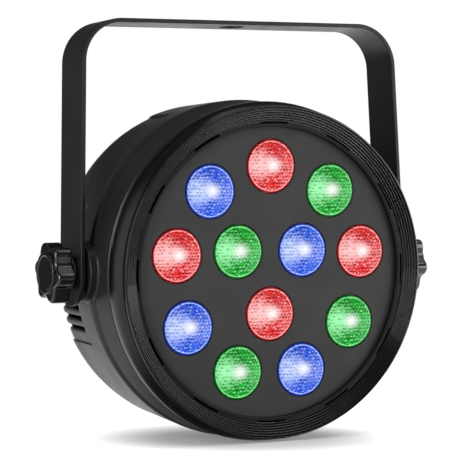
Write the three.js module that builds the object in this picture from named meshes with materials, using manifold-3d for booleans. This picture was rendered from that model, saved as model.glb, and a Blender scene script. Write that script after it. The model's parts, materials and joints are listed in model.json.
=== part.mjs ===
// Round LED par light in its hanging bracket.
// The lamp head has twelve coloured lenses behind a ribbed bezel ring. Two star knobs
// clamp it between the arms of a bent strap, and it tilts on their common axis.
// Millimetres, +Z up, the lamp faces -Y. The origin is the hanging hole in the top face
// of the bracket. Inside the head, depth runs along +Y from the face of the front panel.

import * as THREE from "three";
import { mergeVertices } from "three/addons/utils/BufferGeometryUtils.js";
import Module from "manifold-3d";

const wasm = await Module();
wasm.setup();

// Clearances
const seatGap = 0.3;
const runGap = 0.3;
const overrun = 4;

// Lenses, three round the middle and nine round them
const outerLensCount = 9;
const innerLensCount = 3;
const innerLensTurnDegrees = 30;
const lensFaceRadius = 13.6;
const lensGap = 0.5;
const lensFlangeWidth = 1.1;
const lensFlangeThickness = 1.5;
const lensDome = 1.6;
const lensEdgeHeight = 0.2;
const lensTailRadius = 5;
const lensLength = 21;
const innerLensSpacing = 6.84;
const lensRingSpacing = 2.1;

// Front panel
const panelMargin = 10.8;
const panelThickness = 2.5;

// Bezel ring round the panel
const bezelWall = 2.3;
const rimOverhang = 2.4;
const rimHeight = 6.4;
const rimThickness = 1.1;
const rimRound = 0.6;
const crestInset = 1.6;
const crestRise = 0.8;
const crestGroove = 0.4;
const waistDrop = 0.7;
const bulgeSwell = 4.4;
const bulgeDepth = 5.5;
const bezelDepth = 11.8;
const ribCount = 6;
const ribFootInset = 3.1;
const ribFootHeight = 3.2;
const ribGrooveDepth = 0.5;
const slotCount = 12;
const slotWidth = 1.1;
const slotDegrees = 12;
const lipRidge = 0.3;
const lipStepDrop = 0.2;
const lipStepWidth = 0.8;
const lipEdgeWidth = 0.8;

// Light engine behind the lenses
const diodeRadius = 2.4;
const diodeBaseRadius = 4;
const diodeBaseThickness = 1;
const diodeDome = 1.4;
const diodeClearance = 0.8;
const boardThickness = 1.6;
const boardClearance = 0.5;
const sinkClearance = 3.6;
const sinkThickness = 3;
const finCount = 9;
const finInset = 4;
const finThickness = 2;
const finHeight = 14;
const finRoom = 8;
const postRadius = 2.2;

// Front shell, the band between the bezel ring and the rear shell
const bandSetBack = 1.7;
const bandTaper = 1.8;
const bandLength = 15.1;
const bandEdgeRound = 0.8;
const spigotWall = 2.4;
const spigotLength = 6;
const flangeSeat = 5;
const flangeThickness = 2.5;

// Rear shell
const partingGap = 0.6;
const mouthInset = 0.5;
const shellFlare = 1.3;
const shellTaper = 2.4;
const shellRoundLength = 3.6;
const shellWall = 2.6;
const backMargin = 3.5;
const recessDepth = 0.9;
const recessStart = 20.5;
const recessUpperDegrees = 112;
const recessLowerDegrees = 206;
const ventCount = 12;
const ventPitch = 5.7;
const ventHeight = 2.2;
const ventInset = 5;
const ventMargin = 9;
const ventDepth = 23.9;

// Pivot bosses, knobs and what they clamp
const pivotDepth = 36.3;
const bossRadius = 15;
const bossDepth = 10.9;
const bossProud = 2.8;
const bossEdgeRound = 0.7;
const padInset = 5;
const padThickness = 1.4;
const washerRadius = 8.5;
const washerThickness = 1.2;
const studRadius = 3;
const studGrip = 8.5;
const insertWall = 2;
const insertLength = 12;
const knobLobes = 6;
const knobRadius = 15.9;
const knobNotchDepth = 3.7;
const knobHubRadius = 9;
const knobHubLength = 1.6;
const knobRimLength = 9.6;
const knobBevel = 0.9;
const knobCapInset = 1.6;
const knobCapHeight = 1.1;
const knobSocketDepth = 9;
const knobTurnDegrees = 9;

// Hanging bracket, a flat strap bent to a U
const strapWidth = 26.3;
const strapThickness = 2.1;
const bracketRoom = 40.2;
const armTailRun = 4.05;
const armSplayDegrees = 1.86;
const bendRadius = 22.5;
const hangHoleDiameter = 13;

// Lean of the lamp head in the bracket
const headPitchDegrees = 3.4;

// Control plate in the back, with a row of controls over a row of sockets
const plateDrop = 6;
const plateMargin = 3;
const plateTopMargin = 6;
const plateRowGap = 12;
const plateCorner = 8;
const plateThickness = 1.3;
const plateLedge = 3;
const plateLedgeThickness = 1.4;
const controlInset = 11;
const displayWidth = 34;
const displayHeight = 14;
const displayCorner = 0.4;
const displayProud = 0.3;
const buttonCount = 4;
const buttonRadius = 3.2;
const buttonCollarWidth = 1;
const buttonCollarThickness = 1.5;
const buttonProud = 2;
const buttonRoom = 9;
const buttonSpacing = 0.6;
const buttonTravel = 0.5;
const switchHeight = 1.3;
const switchSide = 6;
const platePostLength = 13.7;
const platePostInset = 3.2;

// Data sockets
const socketSpacing = 2;
const socketFlangeThickness = 2;
const socketCorner = 3;
const dataInBore = 9.5;
const dataWall = 2.3;
const dataFlangeMargin = 1.2;
const dataFlangeRise = 2.5;
const dataBodyLength = 20;
const dataOutBore = 8.4;
const dataOutSleeve = 1.7;
const contactCount = 3;
const contactSpreadDegrees = 135;
const contactRadius = 1.2;
const contactWall = 0.4;
const contactRecess = 4;
const contactHoleDepth = 12;
const insertDisc = 4;
const latchWidth = 6;
const latchHeight = 2.2;
const latchProud = 1.4;
const latchDepth = 5;

// Power socket
const powerMouthWidth = 24.4;
const powerMouthHeight = 16.6;
const powerMouthCorner = 4.4;
const powerWall = 1.4;
const powerFlangeMargin = 1.4;
const powerFlangeRise = 2.3;
const powerLength = 22;
const powerBase = 4;
const bladeWidth = 4;
const bladeThickness = 2;
const bladeSpread = 7;
const bladeRise = 2;
const bladeRecess = 4.2;

// Power board behind the heat sink
const powerBoardWidth = 100;
const powerBoardHeight = 70;
const coilWidth = 28;
const coilHeight = 24;
const coilDepth = 17;
const coilOffset = 24;
const drumRadius = 8;
const drumLength = 18;
const drumOffset = 22;
const drumRise = 14;
const socketRoom = 3.6;

// Safety eye above the control plate
const eyeWidth = 10;
const eyeThickness = 1.5;
const eyeSpan = 16;
const eyeFoot = 9;
const eyeRise = 7.5;
const eyeRoom = 18;

// Facets round each kind of circle
const ringFacets = 36;
const lensFacets = 12;
const washerFacets = 12;
const lobeFacets = 5;
const boreFacets = 16;
const smallFacets = 8;
const diodeFacets = 6;
const cornerFacets = 2;

const degrees = Math.PI / 180;
const armSplay = armSplayDegrees * degrees;

// Radii of the head, worked out from the lenses to the outside
const lensHoleRadius = lensFaceRadius + lensGap;
const lensFlangeRadius = lensHoleRadius + lensFlangeWidth;
const lensPocketRadius = diodeRadius + diodeClearance;
const innerLensChord = 2 * lensFlangeRadius + innerLensSpacing;
const innerLensCircle = innerLensChord / (2 * Math.sin(Math.PI / innerLensCount));
const outerLensCircle = innerLensCircle + 2 * lensFlangeRadius + lensRingSpacing;
const panelRadius = outerLensCircle + lensFlangeRadius + panelMargin;
const ribFootRadius = panelRadius - ribFootInset;
const slotInnerRadius = ribFootRadius - slotWidth;
const lipStepRadius = slotInnerRadius - lipStepWidth;
const lipRadius = lipStepRadius - lipEdgeWidth;
const waistRadius = panelRadius + seatGap + bezelWall;
const rimRadius = waistRadius + rimOverhang;
const crestRadius = rimRadius - crestInset;
const bulgeRadius = waistRadius + bulgeSwell;
const bandFrontRadius = bulgeRadius - bandSetBack;
const bandBackRadius = bandFrontRadius + bandTaper;
const shellMouthRadius = bandBackRadius - mouthInset;
const shellRadius = shellMouthRadius + shellFlare;
const shellWallEndRadius = shellRadius - shellTaper;
const sinkRadius = panelRadius - spigotWall - sinkClearance;
const finRadius = sinkRadius - finInset;
const finPitch = (2 * finRadius) / (finCount + 1);
const flangeRadius = sinkRadius - flangeSeat;
const lightBoardRadius = flangeRadius - boardClearance;

// Heights of the bezel ring in front of the panel
const crestHeight = rimHeight + crestRise;
const waistHeight = rimHeight - rimThickness - waistDrop;
const lipStepHeight = ribFootHeight - lipStepDrop;
const lipHeight = lipStepHeight + lipRidge;

// Depths in the head, from the panel to the back
const panelBack = panelThickness;
const lensFlangeFront = panelBack + seatGap;
const lensPocketDepth = diodeDome - seatGap + diodeClearance;
const diodeBaseFront = lensLength + seatGap;
const lightBoardFront = diodeBaseFront + diodeBaseThickness + seatGap;
const lightBoardBack = lightBoardFront + boardThickness;
const sinkFront = lightBoardBack + seatGap;
const sinkBack = sinkFront + sinkThickness;
const sinkPostLength = finHeight + finRoom;
const powerBoardFront = sinkBack + sinkPostLength + seatGap;
const powerBoardBack = powerBoardFront + boardThickness;
const shellBack = powerBoardBack + drumLength + socketRoom + powerLength;
const bandBackDepth = bezelDepth + bandLength;
const shellMouth = bandBackDepth + partingGap;
const recessFront = shellMouth + recessStart;
const ventFront = recessFront + ventInset;
const ventBack = shellBack - ventMargin;
const ventInnerRadius = shellRadius - ventDepth;

// Control plate and its two rows, measured from the middle of the back
const dataBodyRadius = dataInBore + dataWall;
const dataFlangeWidth = 2 * (dataBodyRadius + dataFlangeMargin);
const dataFlangeHeight = dataFlangeWidth + 2 * dataFlangeRise;
const powerFlangeWidth = powerMouthWidth + 2 * (powerWall + powerFlangeMargin);
const powerFlangeHeight = powerMouthHeight + 2 * (powerWall + powerFlangeRise);
const socketRowWidth = 2 * (dataFlangeWidth + socketSpacing + plateMargin) + powerFlangeWidth;
const buttonCollarRadius = buttonRadius + buttonCollarWidth;
const buttonPitch = 2 * buttonCollarRadius + buttonSpacing;
const buttonRowLength = buttonRoom + (buttonCount - 1) * buttonPitch;
const controlRowWidth = 2 * controlInset + displayWidth + buttonRowLength;
const plateWidth = Math.max(socketRowWidth, controlRowWidth);
const plateHeight = plateMargin + dataFlangeHeight + plateRowGap + displayHeight + plateTopMargin;
const plateTop = plateHeight / 2 - plateDrop;
const controlRowHeight = plateTop - plateTopMargin - displayHeight / 2;
const socketRowDrop = plateHeight - plateTop - plateMargin - dataFlangeHeight / 2;
const displayOffset = controlRowWidth / 2 - controlInset - displayWidth / 2;
const buttonFirst = -displayOffset + displayWidth / 2 + buttonRoom;
const dataInOffset = plateMargin + dataFlangeWidth / 2 - socketRowWidth / 2;
const dataOutOffset = dataInOffset + dataFlangeWidth + socketSpacing;
const powerOffset = dataOutOffset + (dataFlangeWidth + powerFlangeWidth) / 2 + socketSpacing;
const dataOutCoreRadius = dataOutBore - dataOutSleeve;
const contactHoleRadius = contactRadius + runGap;
const contactCircle = dataOutCoreRadius - contactHoleRadius - contactWall;
const latchRise = dataOutBore + latchHeight / 2;
const plateBack = shellBack;
const plateFront = plateBack - plateThickness;
const pocketFloor = plateFront - seatGap;
const controlBoardBack = plateFront - platePostLength - seatGap;
const controlBoardFront = controlBoardBack - boardThickness;
const controlBoardWidth = plateWidth - 2 * (plateLedge + boardClearance);
const controlBoardHeight = displayHeight + 2 * plateMargin;
const socketFace = plateBack + seatGap + socketFlangeThickness;

// The shell's back is flat as far out as the control plate and the safety eye reach
const eyeHeight = plateTop + eyeRoom + eyeWidth / 2;
const eyeReach = Math.hypot(eyeSpan / 2 + eyeThickness + eyeFoot, eyeHeight + eyeWidth / 2);
const plateReach = plateCorner
  + Math.hypot(plateWidth / 2 - plateCorner, plateDrop + plateHeight / 2 - plateCorner);
const shellCornerRadius = shellWallEndRadius - Math.max(eyeReach, plateReach) - backMargin;
const shellWallEnd = shellBack - shellCornerRadius;

// Distances from the middle along the pivot axis, from the boss out to the knob
const padRadius = bossRadius - padInset;
const bossInner = shellRadius - bossDepth;
const bossFace = shellRadius + bossProud;
const insertRadius = studRadius + insertWall;
const insertFace = bossFace - seatGap;
const insertBore = insertRadius + seatGap;
const studHole = studRadius + runGap;
const padInner = bossFace + seatGap;
const armInner = padInner + padThickness + runGap + padRadius * Math.tan(armSplay);
const armOuter = armInner + strapThickness / Math.cos(armSplay);
const washerInner = armOuter + washerRadius * Math.tan(armSplay) + runGap;
const knobBase = washerInner + washerThickness + seatGap;
const studEnd = knobBase + knobSocketDepth - seatGap;
const studLength = studEnd - insertFace + studGrip;
const knobNotchRadius = knobRadius - knobNotchDepth;
const knobCapRadius = knobNotchRadius - knobCapInset;

// The bracket spans the head at the pivot and leaves room for it to turn right over
const bracketDrop = shellRadius + bracketRoom;
const bracketWidth = 2 * (armOuter - bracketDrop * Math.tan(armSplay));
const armTail = strapWidth / 2 + armTailRun;

// Makes a closed solid from a closed geometry, with its faces turned outwards.
function toSolid(geometry) {
  const bare = geometry.clone();
  bare.deleteAttribute("normal");
  bare.deleteAttribute("uv");
  const merged = mergeVertices(bare);
  const corners = merged.getAttribute("position").array;
  const triangles = [];
  let volume = 0;
  for (let start = 0; start < merged.index.count; start += 3) {
    const [a, b, c] = [0, 1, 2].map((step) => merged.index.array[start + step]);
    if (a === b || b === c || c === a) {
      continue;
    }
    triangles.push([a, b, c]);
    const [p, q, r] = [a, b, c].map((k) => new THREE.Vector3().fromArray(corners, 3 * k));
    volume += p.dot(q.cross(r));
  }
  const outward = volume > 0 ? triangles : triangles.map(([a, b, c]) => [a, c, b]);
  const mesh = new wasm.Mesh({
    numProp: 3,
    vertProperties: Float32Array.from(corners),
    triVerts: Uint32Array.from(outward.flat()),
  });
  return new wasm.Manifold(mesh);
}

function toGeometry(solid) {
  const { vertProperties, triVerts } = solid.getMesh();
  const geometry = new THREE.BufferGeometry();
  geometry.setAttribute("position", new THREE.BufferAttribute(vertProperties, 3));
  geometry.setIndex(new THREE.BufferAttribute(triVerts, 1));
  geometry.computeVertexNormals();
  return geometry;
}

// A solid of revolution about +Y from [radius, depth] pairs.
function turned(profile, facets) {
  const points = profile.map(([radius, depth]) => new THREE.Vector2(radius, depth));
  return toSolid(new THREE.LatheGeometry(points, facets));
}

// The same, for a profile that closes on itself.
function turnedRing(profile, facets) {
  return turned([...profile, profile[0]], facets);
}

// A round bar or disc about +Y, from one depth to the other.
function bar(radius, from, to, facets) {
  return turned([[0, from], [radius, from], [radius, to], [0, to]], facets);
}

// A prism along +Y whose outline lies in X and Z.
function prism(outline, from, to, holes = []) {
  const shape = new THREE.Shape(outline);
  shape.holes = holes.map((hole) => new THREE.Path(hole));
  const geometry = new THREE.ExtrudeGeometry(shape, { depth: to - from, bevelEnabled: false });
  geometry.rotateX(Math.PI / 2);
  geometry.translate(0, to, 0);
  return toSolid(geometry);
}

function circle(radius, facets, x = 0, z = 0) {
  return Array.from({ length: facets }, (_, step) => {
    const angle = (2 * Math.PI * step) / facets;
    return new THREE.Vector2(x + radius * Math.cos(angle), z + radius * Math.sin(angle));
  });
}

// A rectangle with round corners, centred on x and z.
function roundedRectangle(width, height, corner, x = 0, z = 0) {
  const points = [];
  for (let quarter = 0; quarter < 4; quarter += 1) {
    const right = quarter === 0 || quarter === 3 ? 1 : -1;
    const top = quarter < 2 ? 1 : -1;
    for (let step = 0; step <= cornerFacets; step += 1) {
      const angle = ((quarter + step / cornerFacets) * Math.PI) / 2;
      points.push(new THREE.Vector2(
        x + right * (width / 2 - corner) + corner * Math.cos(angle),
        z + top * (height / 2 - corner) + corner * Math.sin(angle),
      ));
    }
  }
  return points;
}

function box(width, depth, height, x, y, z) {
  return toSolid(new THREE.BoxGeometry(width, depth, height).translate(x, y, z));
}

// Turns a solid made about +Y so that +Y points to the given side, +1 right or -1 left.
function sideways(solid, side) {
  const geometry = toGeometry(solid).rotateZ((-side * Math.PI) / 2);
  return toSolid(geometry);
}

function along(solid, x, y, z) {
  return toSolid(toGeometry(solid).translate(x, y, z));
}

function mix(from, to, share) {
  return from + (to - from) * share;
}

function finish(color, roughness, metalness = 0) {
  return new THREE.MeshStandardMaterial({ color, roughness, metalness });
}

const finishes = {
  strap: finish(0x1d1d1f, 0.5, 0.3),
  bezel: finish(0x121213, 0.3),
  panel: finish(0x333335, 0.75),
  shell: finish(0x2b2b2d, 0.6),
  knob: finish(0x111112, 0.35),
  steel: finish(0xa9abae, 0.3, 1),
  brass: finish(0xb08d4a, 0.35, 1),
  rubber: finish(0x0c0c0c, 0.9),
  aluminium: finish(0xb9bcc0, 0.4, 1),
  board: finish(0xe6e6e2, 0.5),
  circuit: finish(0x1d5a34, 0.5),
  diode: finish(0xf1e7a8, 0.3),
  socket: finish(0x141415, 0.45),
  window: finish(0x240a0a, 0.15),
  button: finish(0x3a3a3c, 0.5),
  red: finish(0xe01b24, 0.12),
  green: finish(0x12c41a, 0.12),
  blue: finish(0x1f3fe0, 0.12),
};

function piece(parent, name, solid, material, place = {}) {
  const mesh = new THREE.Mesh(toGeometry(solid), material);
  mesh.name = name;
  mesh.position.set(place.x ?? 0, place.y ?? 0, place.z ?? 0);
  mesh.rotation.set(place.turnX ?? 0, place.turnY ?? 0, place.turnZ ?? 0);
  parent.add(mesh);
  return mesh;
}

// Bracket: the U outline along the strap, cut to round ends, with its three holes.
function bracket() {
  const bendCentre = bracketWidth / 2 - (bendRadius * (1 - Math.sin(armSplay))) / Math.cos(armSplay);
  const innerBend = bendRadius - strapThickness;
  const bendSteps = 8;
  const armLength = bracketDrop + armTail + overrun;
  const half = [];
  const inner = [];
  for (let step = 0; step <= bendSteps; step += 1) {
    const angle = mix(Math.PI / 2, armSplay, step / bendSteps);
    const [across, up] = [Math.cos(angle), Math.sin(angle)];
    half.push([bendCentre + bendRadius * across, -bendRadius + bendRadius * up]);
    inner.push([bendCentre + innerBend * across, -bendRadius + innerBend * up]);
  }
  const outerEnd = bracketWidth / 2 + armLength * Math.tan(armSplay);
  half.push([outerEnd, -armLength]);
  inner.push([outerEnd - strapThickness / Math.cos(armSplay), -armLength]);
  const right = [...half, ...inner.reverse()];
  const left = right.map(([x, z]) => [-x, z]).reverse();
  const outline = [...right, ...left].map(([x, z]) => new THREE.Vector2(x, z));
  const strap = prism(outline, -strapWidth / 2, strapWidth / 2);

  const endCentre = bracketDrop + armTail - strapWidth / 2;
  const side = [new THREE.Vector2(strapWidth / 2, overrun), new THREE.Vector2(-strapWidth / 2, overrun)];
  const endSteps = 12;
  for (let step = 0; step <= endSteps; step += 1) {
    const angle = Math.PI * (1 + step / endSteps);
    side.push(new THREE.Vector2(
      (strapWidth / 2) * Math.cos(angle),
      -endCentre + (strapWidth / 2) * Math.sin(angle),
    ));
  }
  const reach = armOuter + armTail;
  const rounding = toSolid(toGeometry(prism(side, -reach, reach)).rotateZ(Math.PI / 2));

  const hangCut = toGeometry(bar(hangHoleDiameter / 2, -overrun, overrun, boreFacets));
  const hangHole = toSolid(hangCut.rotateX(Math.PI / 2));
  const pivotHoles = along(sideways(bar(studHole, -reach, reach, boreFacets), 1), 0, 0, -bracketDrop);
  return strap.intersect(rounding).subtract(hangHole).subtract(pivotHoles);
}

// Bezel ring: bulged side, rim and crest, stepped ribs down to the slotted lip.
function bezelRing() {
  const profile = [];
  const sideSteps = 4;
  for (let step = 0; step <= sideSteps; step += 1) {
    const depth = mix(bezelDepth, -waistHeight, step / sideSteps);
    const fall = (bulgeDepth - depth) / (bulgeDepth + waistHeight);
    profile.push([bulgeRadius - (bulgeRadius - waistRadius) * fall * fall, depth]);
  }
  profile.push([rimRadius, -(rimHeight - rimThickness)]);
  profile.push([rimRadius, -rimHeight]);
  profile.push([rimRadius - rimRound, -rimHeight - rimRound]);
  profile.push([mix(crestRadius, rimRadius - rimRound, 1 / 2), -rimHeight - rimRound + crestGroove]);
  for (let rib = 0; rib < ribCount; rib += 1) {
    const top = rib / ribCount;
    const groove = (rib + 1 / 2) / ribCount;
    profile.push([mix(crestRadius, ribFootRadius, top), -mix(crestHeight, ribFootHeight, top)]);
    profile.push([
      mix(crestRadius, ribFootRadius, groove),
      ribGrooveDepth - mix(crestHeight, ribFootHeight, groove),
    ]);
  }
  profile.push([ribFootRadius, -ribFootHeight]);
  profile.push([ribFootRadius, -lipStepHeight]);
  profile.push([slotInnerRadius, -lipStepHeight]);
  profile.push([slotInnerRadius, -lipHeight]);
  profile.push([lipStepRadius, -lipHeight]);
  profile.push([lipStepRadius, -lipStepHeight]);
  profile.push([lipRadius, -lipStepHeight]);
  profile.push([lipRadius, -seatGap]);
  profile.push([panelRadius + seatGap, -seatGap]);
  profile.push([panelRadius + seatGap, bezelDepth]);
  let ring = turnedRing(profile, ringFacets);

  const slotSteps = 2;
  for (let slot = 0; slot < slotCount; slot += 1) {
    const middle = (2 * Math.PI * slot) / slotCount;
    const outline = [];
    for (const [radius, turn] of [[ribFootRadius, 1], [slotInnerRadius, -1]]) {
      for (let step = 0; step <= slotSteps; step += 1) {
        const angle = middle + turn * slotDegrees * degrees * (step / slotSteps - 1 / 2);
        outline.push(new THREE.Vector2(radius * Math.cos(angle), radius * Math.sin(angle)));
      }
    }
    ring = ring.subtract(prism(outline, -crestHeight, seatGap));
  }
  return ring;
}

// Places of the lenses: the outer nine from the top, then the inner three.
function lensPlaces() {
  const places = [];
  for (let turn = 0; turn < outerLensCount; turn += 1) {
    places.push([outerLensCircle, Math.PI / 2 - (2 * Math.PI * turn) / outerLensCount]);
  }
  for (let turn = 0; turn < innerLensCount; turn += 1) {
    const angle = innerLensTurnDegrees * degrees + (2 * Math.PI * turn) / innerLensCount;
    places.push([innerLensCircle, angle]);
  }
  return places.map(([radius, angle]) => ({ x: radius * Math.cos(angle), z: radius * Math.sin(angle) }));
}

function frontPanel() {
  const holes = lensPlaces().map(({ x, z }) => circle(lensHoleRadius, lensFacets, x, z));
  return prism(circle(panelRadius, ringFacets), 0, panelThickness, holes);
}

// Lens: shallow dome, seat flange behind the panel, cone down to the diode's pocket.
function lens() {
  const domeSteps = 2;
  const profile = [];
  for (let step = 0; step <= domeSteps; step += 1) {
    const share = step / domeSteps;
    profile.push([lensFaceRadius * share, -lensEdgeHeight - lensDome * (1 - share * share)]);
  }
  profile.push([lensFaceRadius, lensFlangeFront]);
  profile.push([lensFlangeRadius, lensFlangeFront]);
  profile.push([lensFlangeRadius, lensFlangeFront + lensFlangeThickness]);
  profile.push([lensTailRadius, lensLength]);
  profile.push([lensPocketRadius, lensLength]);
  profile.push([lensPocketRadius, lensLength - lensPocketDepth]);
  profile.push([0, lensLength - lensPocketDepth]);
  return turned(profile, lensFacets);
}

function diode() {
  return turned([
    [0, diodeBaseFront - diodeDome],
    [diodeRadius / 2, diodeBaseFront - diodeDome],
    [diodeRadius, diodeBaseFront],
    [diodeBaseRadius, diodeBaseFront],
    [diodeBaseRadius, diodeBaseFront + diodeBaseThickness],
    [0, diodeBaseFront + diodeBaseThickness],
  ], diodeFacets);
}

// Heat sink: round plate, upright fins and four posts for the power board.
function heatSink() {
  let sink = bar(sinkRadius, sinkFront, sinkBack, ringFacets);
  const finBack = sinkBack + finHeight;
  for (let fin = 0; fin < finCount; fin += 1) {
    const x = (fin - (finCount - 1) / 2) * finPitch;
    const height = 2 * Math.sqrt(finRadius * finRadius - x * x);
    const depth = finBack - sinkFront;
    sink = sink.add(box(finThickness, depth, height, x, sinkFront + depth / 2, 0));
  }
  for (const right of [-1, 1]) {
    for (const top of [-1, 1]) {
      const post = bar(postRadius, sinkFront, sinkBack + sinkPostLength, smallFacets);
      const x = right * (powerBoardWidth / 2 - 2 * postRadius);
      const z = top * (powerBoardHeight / 2 - 2 * postRadius);
      sink = sink.add(along(post, x, 0, z));
    }
  }
  return sink;
}

function powerBoard() {
  const board = box(
    powerBoardWidth, boardThickness, powerBoardHeight,
    0, powerBoardFront + boardThickness / 2, 0,
  );
  const coilLength = coilDepth + boardThickness;
  const coil = box(coilWidth, coilLength, coilHeight, -coilOffset, powerBoardFront + coilLength / 2, 0);
  const drum = bar(drumRadius, powerBoardFront, powerBoardBack + drumLength, boreFacets);
  return board.add(coil)
    .add(along(drum, drumOffset, 0, drumRise))
    .add(along(drum, drumOffset, 0, -drumRise));
}

// Boss of the pivot, a round bar about +Y that ends at the friction pad.
function bossBar(growth) {
  return turned([
    [0, bossInner - growth],
    [bossRadius + growth, bossInner - growth],
    [bossRadius + growth, bossFace - bossEdgeRound],
    [bossRadius + growth - bossEdgeRound, bossFace],
    [0, bossFace],
  ], boreFacets);
}

function atPivot(solid, side) {
  return along(sideways(solid, side), 0, pivotDepth, 0);
}

// Front shell: tapered outer band, spigots into both neighbours, inner flange for the heat sink.
function frontShell() {
  const bandFront = bezelDepth + seatGap;
  const innerRadius = panelRadius - spigotWall;
  const spigotRadius = shellRadius - shellWall - seatGap;
  const bandBack = bandBackDepth;
  const flangeBack = sinkFront - seatGap;
  let shell = turnedRing([
    [bandFrontRadius - bandEdgeRound, bandFront],
    [bandFrontRadius, bandFront + bandEdgeRound],
    [bandBackRadius, bandBack - bandEdgeRound],
    [bandBackRadius - bandEdgeRound, bandBack],
    [spigotRadius, bandBack],
    [spigotRadius, bandBack + spigotLength],
    [spigotRadius - spigotWall, bandBack + spigotLength],
    [spigotRadius - spigotWall, flangeBack],
    [flangeRadius, flangeBack],
    [flangeRadius, flangeBack - flangeThickness],
    [innerRadius, flangeBack - flangeThickness],
    [innerRadius, panelBack + seatGap],
    [panelRadius, panelBack + seatGap],
    [panelRadius, bandFront],
  ], ringFacets);
  for (const side of [-1, 1]) {
    shell = shell.subtract(atPivot(bossBar(seatGap), side));
  }
  return shell;
}

// Outline of the rear shell from its mouth to the middle of its back, with its side and
// its back moved in.
function shellOutline(sideInset, backInset) {
  const points = [
    [shellMouthRadius - sideInset, shellMouth],
    [shellRadius - sideInset, shellMouth + shellRoundLength],
  ];
  const cornerSteps = 4;
  for (let step = 0; step <= cornerSteps; step += 1) {
    const angle = (Math.PI / 2) * (step / cornerSteps);
    points.push([
      shellWallEndRadius - shellCornerRadius + (shellCornerRadius - sideInset) * Math.cos(angle),
      shellWallEnd + (shellCornerRadius - backInset) * Math.sin(angle),
    ]);
  }
  points.push([0, shellBack - backInset]);
  return points;
}

function sector(fromDegrees, toDegrees, radius) {
  const steps = 5;
  const points = [new THREE.Vector2(0, 0)];
  for (let step = 0; step <= steps; step += 1) {
    const angle = mix(fromDegrees, toDegrees, step / steps) * degrees;
    points.push(new THREE.Vector2(radius * Math.cos(angle), radius * Math.sin(angle)));
  }
  return points;
}

// Rear shell: a cup with shallow side recesses, rows of vents, pivot bosses and the plate's seat.
function rearShell() {
  const body = turned([[0, shellMouth], ...shellOutline(0, 0)], ringFacets);
  const hollow = turned([
    [0, shellMouth - overrun],
    [shellRadius - shellWall, shellMouth - overrun],
    ...shellOutline(shellWall, shellWall).slice(1),
  ], ringFacets);
  let shell = body.subtract(hollow);

  const core = turned([[0, shellMouth], ...shellOutline(recessDepth, 0)], ringFacets);
  const wedgeRadius = shellRadius + overrun;
  for (const side of [-1, 1]) {
    const from = side < 0 ? recessUpperDegrees : 180 - recessUpperDegrees;
    const to = side < 0 ? recessLowerDegrees : 180 - recessLowerDegrees;
    const outline = sector(from, to, wedgeRadius);
    const wedge = prism(side < 0 ? outline : outline.reverse(), recessFront, shellBack + overrun);
    shell = shell.subtract(wedge.subtract(core));
    shell = shell.add(atPivot(bossBar(0), side).subtract(turned([
      [0, shellMouth - shellRadius],
      [bossInner - overrun, shellMouth - shellRadius],
      [bossInner - overrun, shellBack],
      [0, shellBack],
    ], ringFacets)));
    const bore = bar(insertBore, bossInner - overrun, bossFace + overrun, boreFacets);
    shell = shell.subtract(atPivot(bore, side));
    for (let vent = 0; vent < ventCount; vent += 1) {
      const z = (vent - (ventCount - 1) / 2) * ventPitch;
      const width = wedgeRadius - ventInnerRadius;
      const length = ventBack - ventFront;
      shell = shell.subtract(box(
        width, length, ventHeight,
        side * (ventInnerRadius + width / 2), ventFront + length / 2, z,
      ));
    }
  }

  const seat = roundedRectangle(
    plateWidth + 2 * seatGap, plateHeight + 2 * seatGap, plateCorner + seatGap, 0, -plateDrop,
  );
  const opening = roundedRectangle(
    plateWidth - 2 * plateLedge, plateHeight - 2 * plateLedge, plateCorner - plateLedge, 0, -plateDrop,
  );
  const ledgeFront = pocketFloor - plateLedgeThickness;
  const ledge = prism(seat, ledgeFront, shellBack - shellWall / 2);
  return shell.add(ledge)
    .subtract(prism(seat, pocketFloor, shellBack + overrun))
    .subtract(prism(opening, ledgeFront - overrun, shellBack + overrun));
}

// Places along the row of menu buttons.
function buttonPlaces() {
  return Array.from({ length: buttonCount }, (_, step) => buttonFirst + step * buttonPitch);
}

// Places of the posts that carry the control board.
function platePosts() {
  const x = controlBoardWidth / 2 - platePostInset;
  const z = controlBoardHeight / 2 - platePostInset;
  return [[-x, -z], [x, -z], [x, z], [-x, z]]
    .map(([dx, dz]) => [dx, controlRowHeight + dz]);
}

function controlPlate() {
  const outline = roundedRectangle(plateWidth, plateHeight, plateCorner, 0, -plateDrop);
  const socketHole = dataBodyRadius + seatGap;
  const holes = [
    circle(socketHole, boreFacets, dataInOffset, -socketRowDrop),
    circle(socketHole, boreFacets, dataOutOffset, -socketRowDrop),
    powerOutline(powerWall + seatGap),
    roundedRectangle(
      displayWidth + 2 * seatGap, displayHeight + 2 * seatGap, displayCorner + seatGap,
      -displayOffset, controlRowHeight,
    ),
    ...buttonPlaces().map((x) => circle(buttonRadius + runGap, smallFacets, x, controlRowHeight)),
  ];
  let plate = prism(outline, plateFront, plateBack, holes);
  for (const [x, z] of platePosts()) {
    const post = bar(postRadius, plateFront - platePostLength, plateBack - plateThickness / 2, smallFacets);
    plate = plate.add(along(post, x, 0, z));
  }
  return plate;
}

function controlBoard() {
  let board = box(
    controlBoardWidth, boardThickness, controlBoardHeight,
    0, controlBoardFront + boardThickness / 2, controlRowHeight,
  );
  const length = boardThickness + switchHeight;
  for (const x of buttonPlaces()) {
    board = board.add(box(
      switchSide, length, switchSide,
      x, controlBoardFront + length / 2, controlRowHeight,
    ));
  }
  return board;
}

function displayWindow() {
  const outline = roundedRectangle(
    displayWidth, displayHeight, displayCorner, -displayOffset, controlRowHeight,
  );
  return prism(outline, controlBoardBack + seatGap, plateBack + displayProud);
}

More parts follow.
